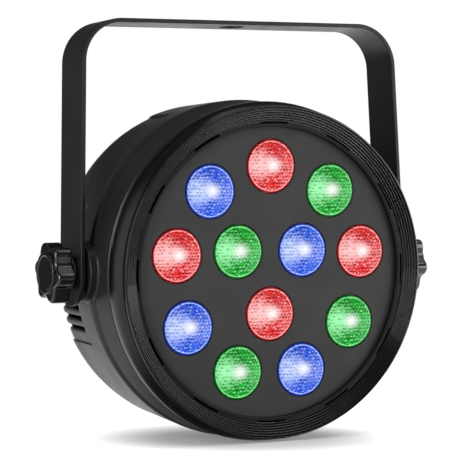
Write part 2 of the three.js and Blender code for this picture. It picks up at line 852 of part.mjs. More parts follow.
function menuButton() {
  const foot = controlBoardBack + switchHeight + buttonTravel + seatGap;
  const collarBack = plateFront - seatGap;
  const collarFront = collarBack - buttonCollarThickness;
  return turned([
    [0, foot],
    [buttonRadius, foot],
    [buttonRadius, collarFront],
    [buttonCollarRadius, collarFront],
    [buttonCollarRadius, collarBack],
    [buttonRadius, collarBack],
    [buttonRadius, plateBack + buttonProud],
    [0, plateBack + buttonProud],
  ], smallFacets);
}

// Contacts of a data socket, on their circle.
function contactPlaces() {
  return Array.from({ length: contactCount }, (_, step) => {
    const angle = (step - 1) * contactSpreadDegrees * degrees - Math.PI / 2;
    return { x: contactCircle * Math.cos(angle), z: contactCircle * Math.sin(angle) };
  });
}

function dataBody(bore) {
  const flangeFront = plateBack + seatGap;
  const outline = roundedRectangle(dataFlangeWidth, dataFlangeHeight, socketCorner);
  const tubeFront = plateBack - dataBodyLength;
  return prism(outline, flangeFront, socketFace)
    .add(bar(dataBodyRadius, tubeFront, socketFace - socketFlangeThickness / 2, boreFacets))
    .subtract(bar(bore, tubeFront - overrun, socketFace + overrun, boreFacets));
}

// Insert of the data input: a disc with three standing contacts.
function dataInInsert() {
  const back = plateBack - dataBodyLength + insertDisc;
  let insert = bar(dataInBore - seatGap, plateBack - dataBodyLength, back, boreFacets);
  for (const { x, z } of contactPlaces()) {
    const contact = bar(contactRadius, back - insertDisc / 2, socketFace - contactRecess, smallFacets);
    insert = insert.add(along(contact, x, 0, z));
  }
  return insert;
}

// Insert of the data output: a footed core with three holes for a plug's contacts.
function dataOutInsert() {
  const foot = plateBack - dataBodyLength;
  let insert = turned([
    [0, foot],
    [dataOutBore - seatGap, foot],
    [dataOutBore - seatGap, foot + insertDisc],
    [dataOutCoreRadius, foot + insertDisc],
    [dataOutCoreRadius, socketFace],
    [0, socketFace],
  ], boreFacets);
  for (const { x, z } of contactPlaces()) {
    const hole = bar(contactHoleRadius, socketFace - contactHoleDepth, socketFace + overrun, smallFacets);
    insert = insert.subtract(along(hole, x, 0, z));
  }
  return insert;
}

// Pocket and tab of the output's latch, above its bore.
function latchBlock(growth, from, to) {
  const outline = roundedRectangle(
    latchWidth + 2 * growth, latchHeight + 2 * growth, latchHeight / 4, 0, latchRise,
  );
  return prism(outline, from, to);
}

// Mouth of the power socket: a rectangle with its two lower corners cut, grown by a margin.
function powerOutline(growth) {
  const [halfWidth, halfHeight] = [powerMouthWidth / 2 + growth, powerMouthHeight / 2 + growth];
  return [
    [halfWidth, halfHeight],
    [-halfWidth, halfHeight],
    [-halfWidth, -halfHeight + powerMouthCorner],
    [-halfWidth + powerMouthCorner, -halfHeight],
    [halfWidth - powerMouthCorner, -halfHeight],
    [halfWidth, -halfHeight + powerMouthCorner],
  ].map(([x, z]) => new THREE.Vector2(powerOffset + x, -socketRowDrop + z));
}

function powerSocket() {
  const flange = roundedRectangle(
    powerFlangeWidth, powerFlangeHeight, socketCorner, powerOffset, -socketRowDrop,
  );
  return prism(flange, plateBack + seatGap, socketFace)
    .add(prism(powerOutline(powerWall), plateBack - powerLength, socketFace - socketFlangeThickness / 2))
    .subtract(prism(powerOutline(0), plateBack - powerLength - overrun, socketFace + overrun));
}

// Insert of the power socket: its floor with three blades.
function powerInsert() {
  const floor = plateBack - powerLength + powerBase;
  const tip = socketFace - bladeRecess;
  const length = tip - floor + powerBase / 2;
  let insert = prism(powerOutline(-seatGap), plateBack - powerLength, floor);
  for (const [x, z] of [[-bladeSpread, -bladeRise], [0, bladeRise], [bladeSpread, -bladeRise]]) {
    insert = insert.add(box(
      bladeThickness, length, bladeWidth,
      powerOffset + x, tip - length / 2, -socketRowDrop + z,
    ));
  }
  return insert;
}

// Safety eye: a bent strip with two feet on the back and a raised bridge.
function safetyEye() {
  const foot = shellBack + seatGap;
  const [inner, outer] = [eyeSpan / 2, eyeSpan / 2 + eyeThickness];
  const outline = [
    [outer + eyeFoot, 0],
    [outer + eyeFoot, eyeThickness],
    [outer, eyeThickness],
    [outer, eyeRise + eyeThickness],
    [-outer, eyeRise + eyeThickness],
    [-outer, eyeThickness],
    [-outer - eyeFoot, eyeThickness],
    [-outer - eyeFoot, 0],
    [-inner, 0],
    [-inner, eyeRise],
    [inner, eyeRise],
    [inner, 0],
  ].map(([x, rise]) => new THREE.Vector2(x, -rise));
  const strip = toGeometry(prism(outline, -eyeWidth / 2, eyeWidth / 2));
  return toSolid(strip.rotateX(Math.PI / 2).translate(0, foot, eyeHeight));
}

// Star knob about +Y: hub at the washer, lobed rim with bevelled ends, low cap.
function starKnob() {
  const steps = lobeFacets * knobLobes;
  const outline = Array.from({ length: steps }, (_, step) => {
    const angle = (2 * Math.PI * step) / steps;
    const swell = (1 + Math.cos(knobLobes * angle)) / 2;
    const radius = mix(knobNotchRadius, knobRadius, swell) - knobBevel;
    return new THREE.Vector2(radius * Math.cos(angle), radius * Math.sin(angle));
  });
  const rimGeometry = new THREE.ExtrudeGeometry(new THREE.Shape(outline), {
    depth: knobRimLength - 2 * knobBevel,
    bevelThickness: knobBevel,
    bevelSize: knobBevel,
    bevelSegments: 1,
  });
  rimGeometry.rotateX(-Math.PI / 2);
  rimGeometry.translate(0, knobHubLength + knobBevel, 0);
  const face = knobHubLength + knobRimLength;
  const core = turned([
    [0, 0],
    [knobHubRadius, 0],
    [knobHubRadius, knobHubLength + knobBevel],
    [knobCapRadius, knobHubLength + 2 * knobBevel],
    [knobCapRadius, face + knobCapHeight / 2],
    [knobCapRadius / 2, face + knobCapHeight],
    [0, face + knobCapHeight],
  ], boreFacets);
  return toSolid(rimGeometry).add(core)
    .subtract(bar(studRadius + seatGap, -overrun, knobSocketDepth, boreFacets));
}

function flatRing(outer, inner, thickness) {
  return turnedRing([[inner, 0], [outer, 0], [outer, thickness], [inner, thickness]], washerFacets);
}

// Assembly
const parLight = new THREE.Group();
piece(parLight, "bracket", bracket(), finishes.strap);

const tilt = new THREE.Group();
tilt.position.set(0, 0, -bracketDrop);
tilt.rotation.x = headPitchDegrees * degrees;
parLight.add(tilt);

const head = new THREE.Group();
head.position.set(0, -pivotDepth, 0);
tilt.add(head);

piece(head, "bezel_ring", bezelRing(), finishes.bezel);
piece(head, "front_panel", frontPanel(), finishes.panel);
piece(head, "front_shell", frontShell(), finishes.shell);
piece(head, "rear_shell", rearShell(), finishes.shell);

const lensColours = [
  "red", "green", "red", "green", "blue", "green", "blue", "red", "blue",
  "blue", "green", "red",
];
const lensSolid = lens();
const diodeSolid = diode();
lensPlaces().forEach((place, index) => {
  piece(head, `lens_${index + 1}`, lensSolid, finishes[lensColours[index]], place);
  piece(head, `diode_${index + 1}`, diodeSolid, finishes.diode, place);
});
const lightBoard = bar(lightBoardRadius, lightBoardFront, lightBoardBack, ringFacets);
piece(head, "light_board", lightBoard, finishes.board);
piece(head, "heat_sink", heatSink(), finishes.aluminium);
piece(head, "power_board", powerBoard(), finishes.circuit);

piece(head, "control_plate", controlPlate(), finishes.strap);
piece(head, "control_board", controlBoard(), finishes.circuit);
piece(head, "display_window", displayWindow(), finishes.window);
const buttonSolid = menuButton();
buttonPlaces().forEach((x, index) => {
  piece(head, `menu_button_${index + 1}`, buttonSolid, finishes.button, { x, z: controlRowHeight });
});

const dataIn = { x: dataInOffset, z: -socketRowDrop };
const dataOut = { x: dataOutOffset, z: -socketRowDrop };
const latchFloor = socketFace - latchDepth;
piece(head, "data_in_socket", dataBody(dataInBore), finishes.socket, dataIn);
piece(head, "data_in_contacts", dataInInsert(), finishes.steel, dataIn);
const latchPocket = latchBlock(runGap, latchFloor - overrun, socketFace + overrun);
piece(head, "data_out_socket", dataBody(dataOutBore).subtract(latchPocket), finishes.socket, dataOut);
piece(head, "data_out_core", dataOutInsert(), finishes.socket, dataOut);
piece(head, "data_out_latch", latchBlock(0, latchFloor, socketFace + latchProud), finishes.steel, dataOut);
piece(head, "power_socket", powerSocket(), finishes.socket);
piece(head, "power_blades", powerInsert(), finishes.steel);
piece(head, "safety_eye", safetyEye(), finishes.steel);

const knobSolid = starKnob();
for (const [name, side] of [["left", -1], ["right", 1]]) {
  const turnZ = (-side * Math.PI) / 2;
  const stack = (distance) => ({ x: side * distance, y: pivotDepth, turnZ });
  piece(head, `${name}_insert`, flatRing(insertRadius, studHole, insertLength), finishes.brass,
    stack(insertFace - insertLength));
  piece(head, `${name}_pad`, flatRing(padRadius, studHole, padThickness), finishes.rubber, stack(padInner));
  piece(head, `${name}_washer`, flatRing(washerRadius, studHole, washerThickness), finishes.steel,
    stack(washerInner));
  piece(head, `${name}_stud`, bar(studRadius, 0, studLength, boreFacets), finishes.steel,
    stack(studEnd - studLength));
  const knob = piece(head, `${name}_knob`, knobSolid, finishes.knob, stack(knobBase));
  knob.rotateY(side * knobTurnDegrees * degrees);
}

export default parLight;
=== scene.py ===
# %% [markdown]
# # A stage par light with twelve coloured lenses
#
# The real lamp is a round moulded head, a ribbed ring round twelve lenses, and a bent
# steel strap that carries it between two star knobs. The solids of every part are
# already worked out, so this lesson loads them as a fixed frame and dresses them: each
# visible part gets a finer mesh in the same place, and every part gets a finish.

# %% Load the frame
import json
import math

import bmesh
import bpy
from mathutils import Matrix, Vector


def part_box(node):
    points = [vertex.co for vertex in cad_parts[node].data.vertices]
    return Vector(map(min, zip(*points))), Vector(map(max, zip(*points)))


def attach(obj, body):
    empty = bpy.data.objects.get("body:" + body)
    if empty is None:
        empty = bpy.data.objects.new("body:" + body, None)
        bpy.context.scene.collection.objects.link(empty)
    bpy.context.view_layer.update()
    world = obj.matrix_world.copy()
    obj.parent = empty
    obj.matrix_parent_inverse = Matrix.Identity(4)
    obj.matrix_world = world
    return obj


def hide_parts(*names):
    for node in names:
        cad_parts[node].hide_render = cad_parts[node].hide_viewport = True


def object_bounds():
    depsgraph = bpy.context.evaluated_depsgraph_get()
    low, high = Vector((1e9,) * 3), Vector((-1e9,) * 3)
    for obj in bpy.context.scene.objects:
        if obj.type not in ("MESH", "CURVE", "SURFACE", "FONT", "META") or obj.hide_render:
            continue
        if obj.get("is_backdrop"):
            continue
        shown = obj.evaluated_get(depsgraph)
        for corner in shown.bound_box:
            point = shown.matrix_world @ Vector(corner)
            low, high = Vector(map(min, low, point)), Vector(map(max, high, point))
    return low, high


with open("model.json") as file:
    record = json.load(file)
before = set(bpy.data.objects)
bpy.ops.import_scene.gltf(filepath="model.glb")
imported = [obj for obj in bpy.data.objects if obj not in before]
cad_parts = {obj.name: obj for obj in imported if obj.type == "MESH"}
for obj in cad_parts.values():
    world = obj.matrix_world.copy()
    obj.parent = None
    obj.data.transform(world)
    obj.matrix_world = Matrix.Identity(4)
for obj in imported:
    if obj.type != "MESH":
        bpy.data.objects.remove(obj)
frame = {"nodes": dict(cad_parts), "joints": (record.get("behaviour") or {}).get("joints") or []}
cad_low, cad_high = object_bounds()
nodes = frame["nodes"]
MM = 0.001


def new_object(name, data):
    made = bpy.data.objects.new(name, data)
    bpy.context.scene.collection.objects.link(made)
    return made


print("the frame has", len(nodes), "parts and is", [round(v / MM) for v in cad_high - cad_low], "mm")

# %% [markdown]
# ## Measuring the head
#
# The head leans a few degrees in its bracket, so nothing on it is square to the world.
# Typing turned coordinates by hand would be slow and wrong. The lean is read from the
# direction in which a menu button is pressed, and the pivot from the stud that passes
# through it. From then on all of the head is drawn upright, in millimetres, with its
# depth along +Y from the panel's face, and one matrix puts it in its place.

# %% The head's own frame
joints = {joint["name"]: joint for joint in frame["joints"]}
press = joints["menu_button_1_press"]["axis"]
lean = math.atan2(-press[2], -press[1])
stud_low, stud_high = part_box("left_stud")
pivot = Vector((0, (stud_low.y + stud_high.y) / 2, (stud_low.z + stud_high.z) / 2))
tilted = Matrix.Translation(pivot) @ Matrix.Rotation(lean, 4, "X")


def depths(node, place):
    return [(place.inverted() @ v.co).y / MM for v in nodes[node].data.vertices]


pivot_depth = -min(depths("front_panel", tilted))
head = tilted @ Matrix.Translation((0, -pivot_depth * MM, 0))


def measured(node):
    """Lowest and highest corner of a part, in the head's own millimetres."""
    spots = [(head.inverted() @ v.co) / MM for v in nodes[node].data.vertices]
    return tuple(Vector([pick(spot[k] for spot in spots) for k in range(3)]) for pick in (min, max))


print("lean", round(math.degrees(lean), 2), "degrees, pivot", round(pivot_depth, 2), "mm behind the panel")

# %% [markdown]
# ## The camera
#
# The picture is taken from the lamp's left, a little above the middle of its face, with
# a long lens from more than a metre away, so that the ring is nearly a plain ellipse.
# The direction is given in the head's own frame, because that is what was measured.

# %% Place the camera
CAMERA_TURN = math.radians(-27.73)
CAMERA_RISE = math.radians(2.87)
CAMERA_ROLL = math.radians(0.32)
CAMERA_REACH = 1181.4
CAMERA_AIM = Vector((-23.34, 0, 21.83))
LENS_MM = 183.04

back = Vector((
    math.sin(CAMERA_TURN) * math.cos(CAMERA_RISE),
    -math.cos(CAMERA_TURN) * math.cos(CAMERA_RISE),
    math.sin(CAMERA_RISE),
))
level = Vector((math.cos(CAMERA_TURN), math.sin(CAMERA_TURN), 0))
upward = back.cross(level)
right = level * math.cos(CAMERA_ROLL) + upward * math.sin(CAMERA_ROLL)
upward = back.cross(right)
camera_data = bpy.data.cameras.new("picture")
camera_data.lens = LENS_MM
camera_data.sensor_width = 36
camera = new_object("picture", camera_data)
spot = (CAMERA_AIM + back * CAMERA_REACH) * MM
camera.matrix_world = head @ Matrix.Translation(spot) @ Matrix((right, upward, back)).transposed().to_4x4()
bpy.context.scene.camera = camera
bpy.context.scene.view_settings.view_transform = "Standard"
print("camera at", [round(v, 3) for v in camera.matrix_world.translation])

# %% [markdown]
# ## Talking to the node editor
#
# A material is a small graph. A few helpers keep the cells that build one short: they
# feed the inputs of a node, put a node in a graph, do a sum, or make a noise, each in one
# call. A wire is passed as an output socket, and anything else is a plain value.

# %% Helpers for node graphs
def feed(node, inputs):
    for key, value in inputs.items():
        if isinstance(value, bpy.types.NodeSocket):
            node.id_data.links.new(value, node.inputs[key])
        else:
            node.inputs[key].default_value = value
    return node


def put(tree, kind, inputs=None, **settings):
    node = tree.nodes.new(kind)
    for key, value in settings.items():
        setattr(node, key, value)
    return feed(node, inputs or {})


def reckon(tree, operation, *values, clamp=False):
    inputs = dict(enumerate(values))
    return put(tree, "ShaderNodeMath", inputs, operation=operation, use_clamp=clamp).outputs[0]


def arrow(tree, operation, *values, out="Vector"):
    inputs = dict(enumerate(values))
    return put(tree, "ShaderNodeVectorMath", inputs, operation=operation).outputs[out]


def ramp(tree, value, low, high, to_low=0.0, to_high=1.0, kind="SMOOTHSTEP"):
    """Carries a value from one range to another, with soft ends."""
    inputs = {"Value": value, "From Min": low, "From Max": high, "To Min": to_low, "To Max": to_high}
    return put(tree, "ShaderNodeMapRange", inputs, interpolation_type=kind).outputs["Result"]


def blend(tree, share, first, second, mode="MIX"):
    inputs = {0: share, 6: first, 7: second}
    return put(tree, "ShaderNodeMix", inputs, data_type="RGBA", blend_type=mode).outputs[2]


def noise(tree, where, scale, **more):
    return put(tree, "ShaderNodeTexNoise", {"Vector": where, "Scale": scale, **more}).outputs["Fac"]


def own_place(tree):
    """Where a point lies in its object's own frame."""
    return put(tree, "ShaderNodeTexCoord").outputs["Object"]


def start_group(name, inputs, outputs):
    """A node group with named sockets. Each input is (name, default value)."""
    group = bpy.data.node_groups.new(name, "ShaderNodeTree")
    for label, value in inputs:
        socket = group.interface.new_socket(label, in_out="INPUT", socket_type="NodeSocketFloat")
        socket.default_value = value
    for label in outputs:
        group.interface.new_socket(label, in_out="OUTPUT", socket_type="NodeSocketFloat")
    return group, group.nodes.new("NodeGroupInput"), group.nodes.new("NodeGroupOutput")


# %% [markdown]
# ## Moulded grain
#
# The plastic comes out of a spark-eroded mould, so its skin is covered in shallow round
# pits a fraction of a millimetre across, and the pigment isn't perfectly even. Modelling
# the pits is hopeless, and they are too fine for displacement. A node group gives a
# height for a Bump node and a slow mottle for the colour, and each material sets its own
# grain size.

# %% Node group: moulded grain
grain_group, into, out = start_group(
    "moulded_grain", [("Scale", 1500.0), ("Mottle Scale", 60.0)], ["Height", "Mottle"])
where = own_place(grain_group)
pits = put(grain_group, "ShaderNodeTexVoronoi", {
    "Vector": where, "Scale": into.outputs["Scale"], "Smoothness": 0.6,
}, feature="SMOOTH_F1").outputs["Distance"]
fine = noise(grain_group, where, into.outputs["Scale"], Detail=3.0, Roughness=0.6)
height = reckon(grain_group, "ADD", reckon(grain_group, "MULTIPLY", pits, 0.6), fine)
slow = noise(grain_group, where, into.outputs["Mottle Scale"], Detail=4.0)
feed(out, {"Height": height, "Mottle": slow})
print("group", grain_group.name)

# %% [markdown]
# ## Worn edges
#
# Hands, cases and trusses rub the corners of a stage light first, so its edges turn a
# little paler and smoother. A Bevel node gives the normal that a corner would have if it
# were rounder, and where that differs from the real normal there is an edge. Noise breaks
# the mask up, because no edge wears evenly.

# %% Node group: worn edges
# On the bezel this mask is turned up far enough that its pale edges are painted highlights along the rim, as well
# as wear.
wear_group, into, out = start_group("worn_edge", [("Width", 0.0006), ("Patch Scale", 180.0)], ["Wear_And_Highlight"])
soft = put(wear_group, "ShaderNodeBevel", {"Radius": into.outputs["Width"]}, samples=4)
true = put(wear_group, "ShaderNodeNewGeometry")
match = arrow(wear_group, "DOT_PRODUCT", soft.outputs["Normal"], true.outputs["Normal"], out="Value")
edge = ramp(wear_group, match, 0.995, 0.9)
patches = noise(wear_group, own_place(wear_group), into.outputs["Patch Scale"], Detail=5.0, Roughness=0.65)
wear = reckon(wear_group, "MULTIPLY", edge, ramp(wear_group, patches, 0.42, 0.62))
feed(out, {"Wear_And_Highlight": wear})
print("group", wear_group.name)

# %% [markdown]
# ## Dust and finger marks
#
# Dust settles on whatever faces up, thinly and unevenly, and fingers leave patches that
# are a little glossier than the rest. Both are slow noises. The first is weighed by the
# upward part of the surface's own normal, so it stays with the part when the head turns.

# %% Node group: dust and finger marks
dust_group, into, out = start_group("dust_and_marks", [("Spread", 35.0)], ["Dust", "Marks"])
corner = put(dust_group, "ShaderNodeTexCoord")
facing = put(dust_group, "ShaderNodeSeparateXYZ", {0: corner.outputs["Normal"]}).outputs["Z"]
settled = noise(dust_group, corner.outputs["Object"], into.outputs["Spread"], Detail=6.0)
dust = reckon(dust_group, "MULTIPLY", ramp(dust_group, facing, 0.2, 0.95), ramp(dust_group, settled, 0.35, 0.7))
wide = reckon(dust_group, "MULTIPLY", into.outputs["Spread"], 0.6)
smears = noise(dust_group, corner.outputs["Object"], wide, Detail=2.0, Distortion=1.5)
feed(out, {"Dust": dust, "Marks": ramp(dust_group, smears, 0.35, 0.65)})
print("group", dust_group.name)

# %% [markdown]
# ## Drawn metal
#
# Strip, wire and turned parts keep fine scratches along the way they were drawn or
# rolled. Noise that is squeezed along one direction gives them, both for the roughness
# and for a slight relief.

# %% Node group: drawn metal
drawn_group, into, out = start_group(
    "drawn_metal", [("Along X", 60.0), ("Along Y", 2500.0), ("Along Z", 2500.0)], ["Streaks"])
squeeze = put(drawn_group, "ShaderNodeCombineXYZ", {
    "X": into.outputs["Along X"], "Y": into.outputs["Along Y"], "Z": into.outputs["Along Z"],
}).outputs[0]
stretched = arrow(drawn_group, "MULTIPLY", own_place(drawn_group), squeeze)
feed(out, {"Streaks": noise(drawn_group, stretched, 1.0, Detail=3.0)})
print("group", drawn_group.name)

# %% [markdown]
# ## Painted and moulded finishes
#
# All dark parts share one recipe with different numbers: a pigment that is slightly
# mottled, pale edges, a film of dust, a roughness that finger marks lower, and the
# grain as a bump. The pale edges are wear, and on the bezel they are strong enough to be
# painted highlight lines along its rim as well. The grooves and slots get near-black
# finishes, painted shade in the ring's hollows. What is the same all over, such as the
# specular level, is set on the shader itself.

# %% Make the moulded and painted finishes
finishes = {}


def new_material(name):
    material = bpy.data.materials.new(name)
    material.use_nodes = True
    finishes[name] = material
    tree = material.node_tree
    return tree, tree.nodes["Principled BSDF"]


def place_group(tree, group, **values):
    node = put(tree, "ShaderNodeGroup", node_tree=group)
    for label, value in values.items():
        node.inputs[label.replace("_", " ")].default_value = value
    return node.outputs


def bump(tree, height, strength, distance):
    made = put(tree, "ShaderNodeBump", {"Strength": strength, "Distance": distance * MM, "Height": height})
    return made.outputs[0]


FINGER_GLOSS = 0.08


def moulded(name, colour, roughness, grain, relief, specular, wear_and_highlight=0.25, dusty=0.1):
    tree, shader = new_material(name)
    skin = place_group(tree, grain_group, Scale=grain)
    wear_and_highlight_edges = place_group(tree, wear_group)
    film = place_group(tree, dust_group)
    pale = [min(1, 3.2 * part + 0.05) for part in colour]
    dark = [0.8 * part for part in colour]
    light = [1.25 * part for part in colour]
    pigment = blend(tree, skin["Mottle"], (*dark, 1), (*light, 1))
    edged = blend(tree, reckon(tree, "MULTIPLY", wear_and_highlight_edges["Wear_And_Highlight"], wear_and_highlight), pigment, (*pale, 1))
    dusted = blend(tree, reckon(tree, "MULTIPLY", film["Dust"], dusty), edged, (0.2, 0.19, 0.18, 1))
    rough = reckon(tree, "SUBTRACT", roughness, reckon(tree, "MULTIPLY", film["Marks"], FINGER_GLOSS))
    rough = reckon(tree, "ADD", rough, reckon(tree, "MULTIPLY", film["Dust"], dusty), clamp=True)
    feed(shader, {
        "Base Color": dusted, "Roughness": rough, "Specular IOR Level": specular,
        "Normal": bump(tree, skin["Height"], 0.5, relief),
    })
    print("finish", name)


moulded("strap", (0.011, 0.011, 0.012), 0.4, 2200, 0.02, 0.25, wear_and_highlight=0.06, dusty=0.02)
# The bezel's strong pale edges are painted highlight lines along its rim, on top of wear.
moulded("bezel", (0.004, 0.004, 0.0044), 0.2, 1800, 0.003, 0.5, wear_and_highlight=0.5, dusty=0.01)
moulded("rib", (0.003, 0.003, 0.0034), 0.12, 1800, 0.0005, 1.0, wear_and_highlight=0.0, dusty=0.01)
# Near black and dull, this finish is painted shade on the inward sides of the grooves between the ribs.
moulded("painted_groove_shade", (0.001, 0.001, 0.001), 0.3, 1800, 0.0005, 0.12, wear_and_highlight=0.0, dusty=0.0)
moulded("lip", (0.005, 0.005, 0.0054), 0.5, 1800, 0.005, 0.2, wear_and_highlight=0.0, dusty=0.02)
# Near black and dull, this finish is painted shade on the floors and walls of the slots.
moulded("slot", (0.001, 0.001, 0.001), 0.9, 1500, 0.02, 0.05, wear_and_highlight=0.0, dusty=0.0)
moulded("panel", (0.028, 0.028, 0.029), 0.6, 1500, 0.03, 0.3, wear_and_highlight=0.05, dusty=0.03)
moulded("shell", (0.015, 0.015, 0.0155), 0.36, 1400, 0.015, 0.34, wear_and_highlight=0.05, dusty=0.02)
moulded("knob", (0.004, 0.004, 0.0045), 0.14, 1800, 0.001, 0.9, wear_and_highlight=0.04, dusty=0.01)
moulded("rubber", (0.008, 0.008, 0.008), 0.8, 1200, 0.04, 0.3, wear_and_highlight=0.0, dusty=0.1)
moulded("socket", (0.009, 0.009, 0.0095), 0.42, 1700, 0.015, 0.45, wear_and_highlight=0.25, dusty=0.05)
moulded("button", (0.04, 0.04, 0.042), 0.5, 1500, 0.02, 0.4, wear_and_highlight=0.3, dusty=0.06)
moulded("window", (0.02, 0.001, 0.001), 0.12, 900, 0.002, 0.6, wear_and_highlight=0.1, dusty=0.04)

# %% [markdown]
# ## Metals and the parts inside
#
# Steel, brass and aluminium share the drawn streaks. The boards and diodes are hidden
# behind the panel, and show only through the vents or when a part is taken away, but they
# are finished too: a board has a weave of glass fibre under its lacquer, and a diode has
# a yellow phosphor that is brightest in its middle.

# %% Make the metal finishes
def metal(name, colour, roughness, along):
    tree, shader = new_material(name)
    streak = place_group(tree, drawn_group, Along_X=along[0], Along_Y=along[1], Along_Z=along[2])["Streaks"]
    film = place_group(tree, dust_group)
    dull = [0.62 * part for part in colour]
    tone = blend(tree, ramp(tree, streak, 0.3, 0.7), (*dull, 1), (*colour, 1))
    tone = blend(tree, reckon(tree, "MULTIPLY", film["Marks"], 0.35), tone, (*dull, 1))
    rough = ramp(tree, streak, 0.3, 0.7, roughness - 0.08, roughness + 0.12)
    feed(shader, {
        "Base Color": tone, "Roughness": rough, "Metallic": 1.0, "Normal": bump(tree, streak, 0.3, 0.01),
    })
    print("finish", name)


metal("steel", (0.42, 0.42, 0.43), 0.32, (2500, 90, 2500))
metal("brass", (0.5, 0.34, 0.12), 0.3, (2500, 80, 2500))
metal("aluminium", (0.55, 0.56, 0.58), 0.42, (1800, 1800, 70))


def lacquered(name, colour, weave, roughness):
    tree, shader = new_material(name)
    cloth = put(tree, "ShaderNodeTexWave", {
        "Vector": own_place(tree), "Scale": weave, "Distortion": 1.0,
    }).outputs["Fac"]
    skin = place_group(tree, grain_group, Scale=weave * 2, Mottle_Scale=90.0)
    deep = [0.7 * part for part in colour]
    tone = blend(tree, skin["Mottle"], (*deep, 1), (*colour, 1))
    tone = blend(tree, reckon(tree, "MULTIPLY", cloth, 0.2), tone, (*deep, 1))
    rough = ramp(tree, skin["Mottle"], 0.2, 0.8, roughness, roughness + 0.15)
    feed(shader, {"Base Color": tone, "Roughness": rough, "Normal": bump(tree, cloth, 0.2, 0.02)})
    print("finish", name)


lacquered("board", (0.72, 0.72, 0.68), 700, 0.35)
lacquered("circuit", (0.02, 0.11, 0.045), 900, 0.3)
lacquered("diode", (0.8, 0.68, 0.2), 1500, 0.25)

# %% [markdown]
# ## The lens beads
#
# Each lens has a field of small round beads on its face, packed like a honeycomb. They
# spread the light of the diode behind, so the lens looks like a mosaic: a white glow in
# the middle, a pale glow painted beside it, and deep colour above and below. Every bead
# has a painted dark fleck of shade low on it and a painted highlight, its glint, above
# that, each a little off its place, and slow clouds dim the pigment. A seed gives every
# colour a pattern of its own. A honeycomb is two rectangular lattices laid over each other,
# so the nearest bead is the nearer of two wrapped positions. The same sum will shape the mesh.

# %% Node group: lens beads
BEAD_PITCH = 1.9
HONEYCOMB = (BEAD_PITCH, BEAD_PITCH * math.sqrt(3))
BEAD_TIP_RUN, BEAD_TOSS = 40, 0.5
bead_group, into, out = start_group(
    "lens_beads", [("Seed", 0.0)], ["Painted_Fleck_Shade", "Glint", "Mottle", "Cell", "Across", "Up", "Reach"])
axes = put(bead_group, "ShaderNodeSeparateXYZ", {0: own_place(bead_group)}).outputs
face = put(bead_group, "ShaderNodeCombineXYZ", {"X": axes["X"], "Y": axes["Z"], "Z": 0.0}).outputs[0]
reach = arrow(bead_group, "LENGTH", face, out="Value")
half_cell = [side * MM / 2 for side in HONEYCOMB]
low, high = (-half_cell[0], -half_cell[1], -1.0), (half_cell[0], half_cell[1], 1.0)
even_bead = arrow(bead_group, "WRAP", face, high, low)
odd_bead = arrow(bead_group, "WRAP", arrow(bead_group, "ADD", face, (*half_cell, 0.0)), high, low)
odd_nearer = reckon(
    bead_group, "LESS_THAN", arrow(bead_group, "LENGTH", odd_bead, out="Value"),
    arrow(bead_group, "LENGTH", even_bead, out="Value"))
inside = put(bead_group, "ShaderNodeMix", {
    0: odd_nearer, 4: even_bead, 5: odd_bead,
}, data_type="VECTOR").outputs[1]
counted = arrow(bead_group, "DIVIDE", arrow(bead_group, "SUBTRACT", face, inside), (*half_cell, 1.0))
cell = arrow(bead_group, "FLOOR", arrow(bead_group, "ADD", counted, (0.5, 0.5, 0.5)))
dice = put(bead_group, "ShaderNodeTexWhiteNoise", {
    "Vector": cell, "W": into.outputs["Seed"],
}, noise_dimensions="4D").outputs
chance = dice["Value"]
tipped = arrow(bead_group, "MULTIPLY", face, (BEAD_PITCH / BEAD_TIP_RUN,) * 3)
tossed = arrow(bead_group, "MULTIPLY", arrow(bead_group, "SUBTRACT", dice["Color"], (0.5, 0.5, 0.5)),
               (BEAD_TOSS * BEAD_PITCH * MM, BEAD_TOSS * BEAD_PITCH * MM, 0.0))
leaning = arrow(bead_group, "SUBTRACT", inside, arrow(bead_group, "ADD", tipped, tossed))


def bead_spot(x, z, wide, high):
    """1 in the middle of an oval that lies beside the middle of every bead, and 0 outside it."""
    shifted = arrow(bead_group, "SUBTRACT", leaning, (x * BEAD_PITCH * MM, z * BEAD_PITCH * MM, 0.0))
    grow = [1 / (size * BEAD_PITCH * MM) for size in (wide, high)]
    scaled = arrow(bead_group, "MULTIPLY", shifted, (*grow, 1.0))
    return ramp(bead_group, arrow(bead_group, "LENGTH", scaled, out="Value"), 1.0, 0.35)


darker, brighter = ramp(bead_group, chance, 0.1, 0.5, 0.15, 1.0), ramp(bead_group, chance, 0.9, 0.4, 0.2, 1.0)
# A painted dark fleck of shade low on each bead, and a painted highlight above it.
painted_fleck_shade = reckon(bead_group, "MULTIPLY", bead_spot(0.1, -0.3, 0.78, 0.5), darker)
glint = reckon(bead_group, "MULTIPLY", bead_spot(-0.08, 0.24, 0.46, 0.34), brighter)
clouds = put(bead_group, "ShaderNodeTexNoise", {
    "Vector": face, "W": into.outputs["Seed"], "Scale": 520.0, "Detail": 2.0, "Distortion": 0.8,
}, noise_dimensions="4D").outputs["Fac"]
mottle = ramp(bead_group, clouds, 0.42, 0.62)
feed(out, {
    "Painted_Fleck_Shade": painted_fleck_shade, "Glint": glint, "Mottle": mottle, "Cell": chance,
    "Across": axes["X"], "Up": axes["Z"], "Reach": reach,
})
print("group", bead_group.name)

# %% [markdown]
# ## Red, green and blue lenses
#
# The three colours differ only in their pigment, so one function makes them. The glow is
# an emission, because the light comes from the diode and not from the studio, and the
# clear face is a coat over it. The lens throws its light forward, so the glossy ribs
# beside it see little of the glow. On top of the glow, a pale patch to either side and a
# thin pale ring near the rim are painted light, and a dark edge round the rim and the
# beads' flecks are painted shade.

# %% Make the lens finishes
LENS_RADIUS = 13.6


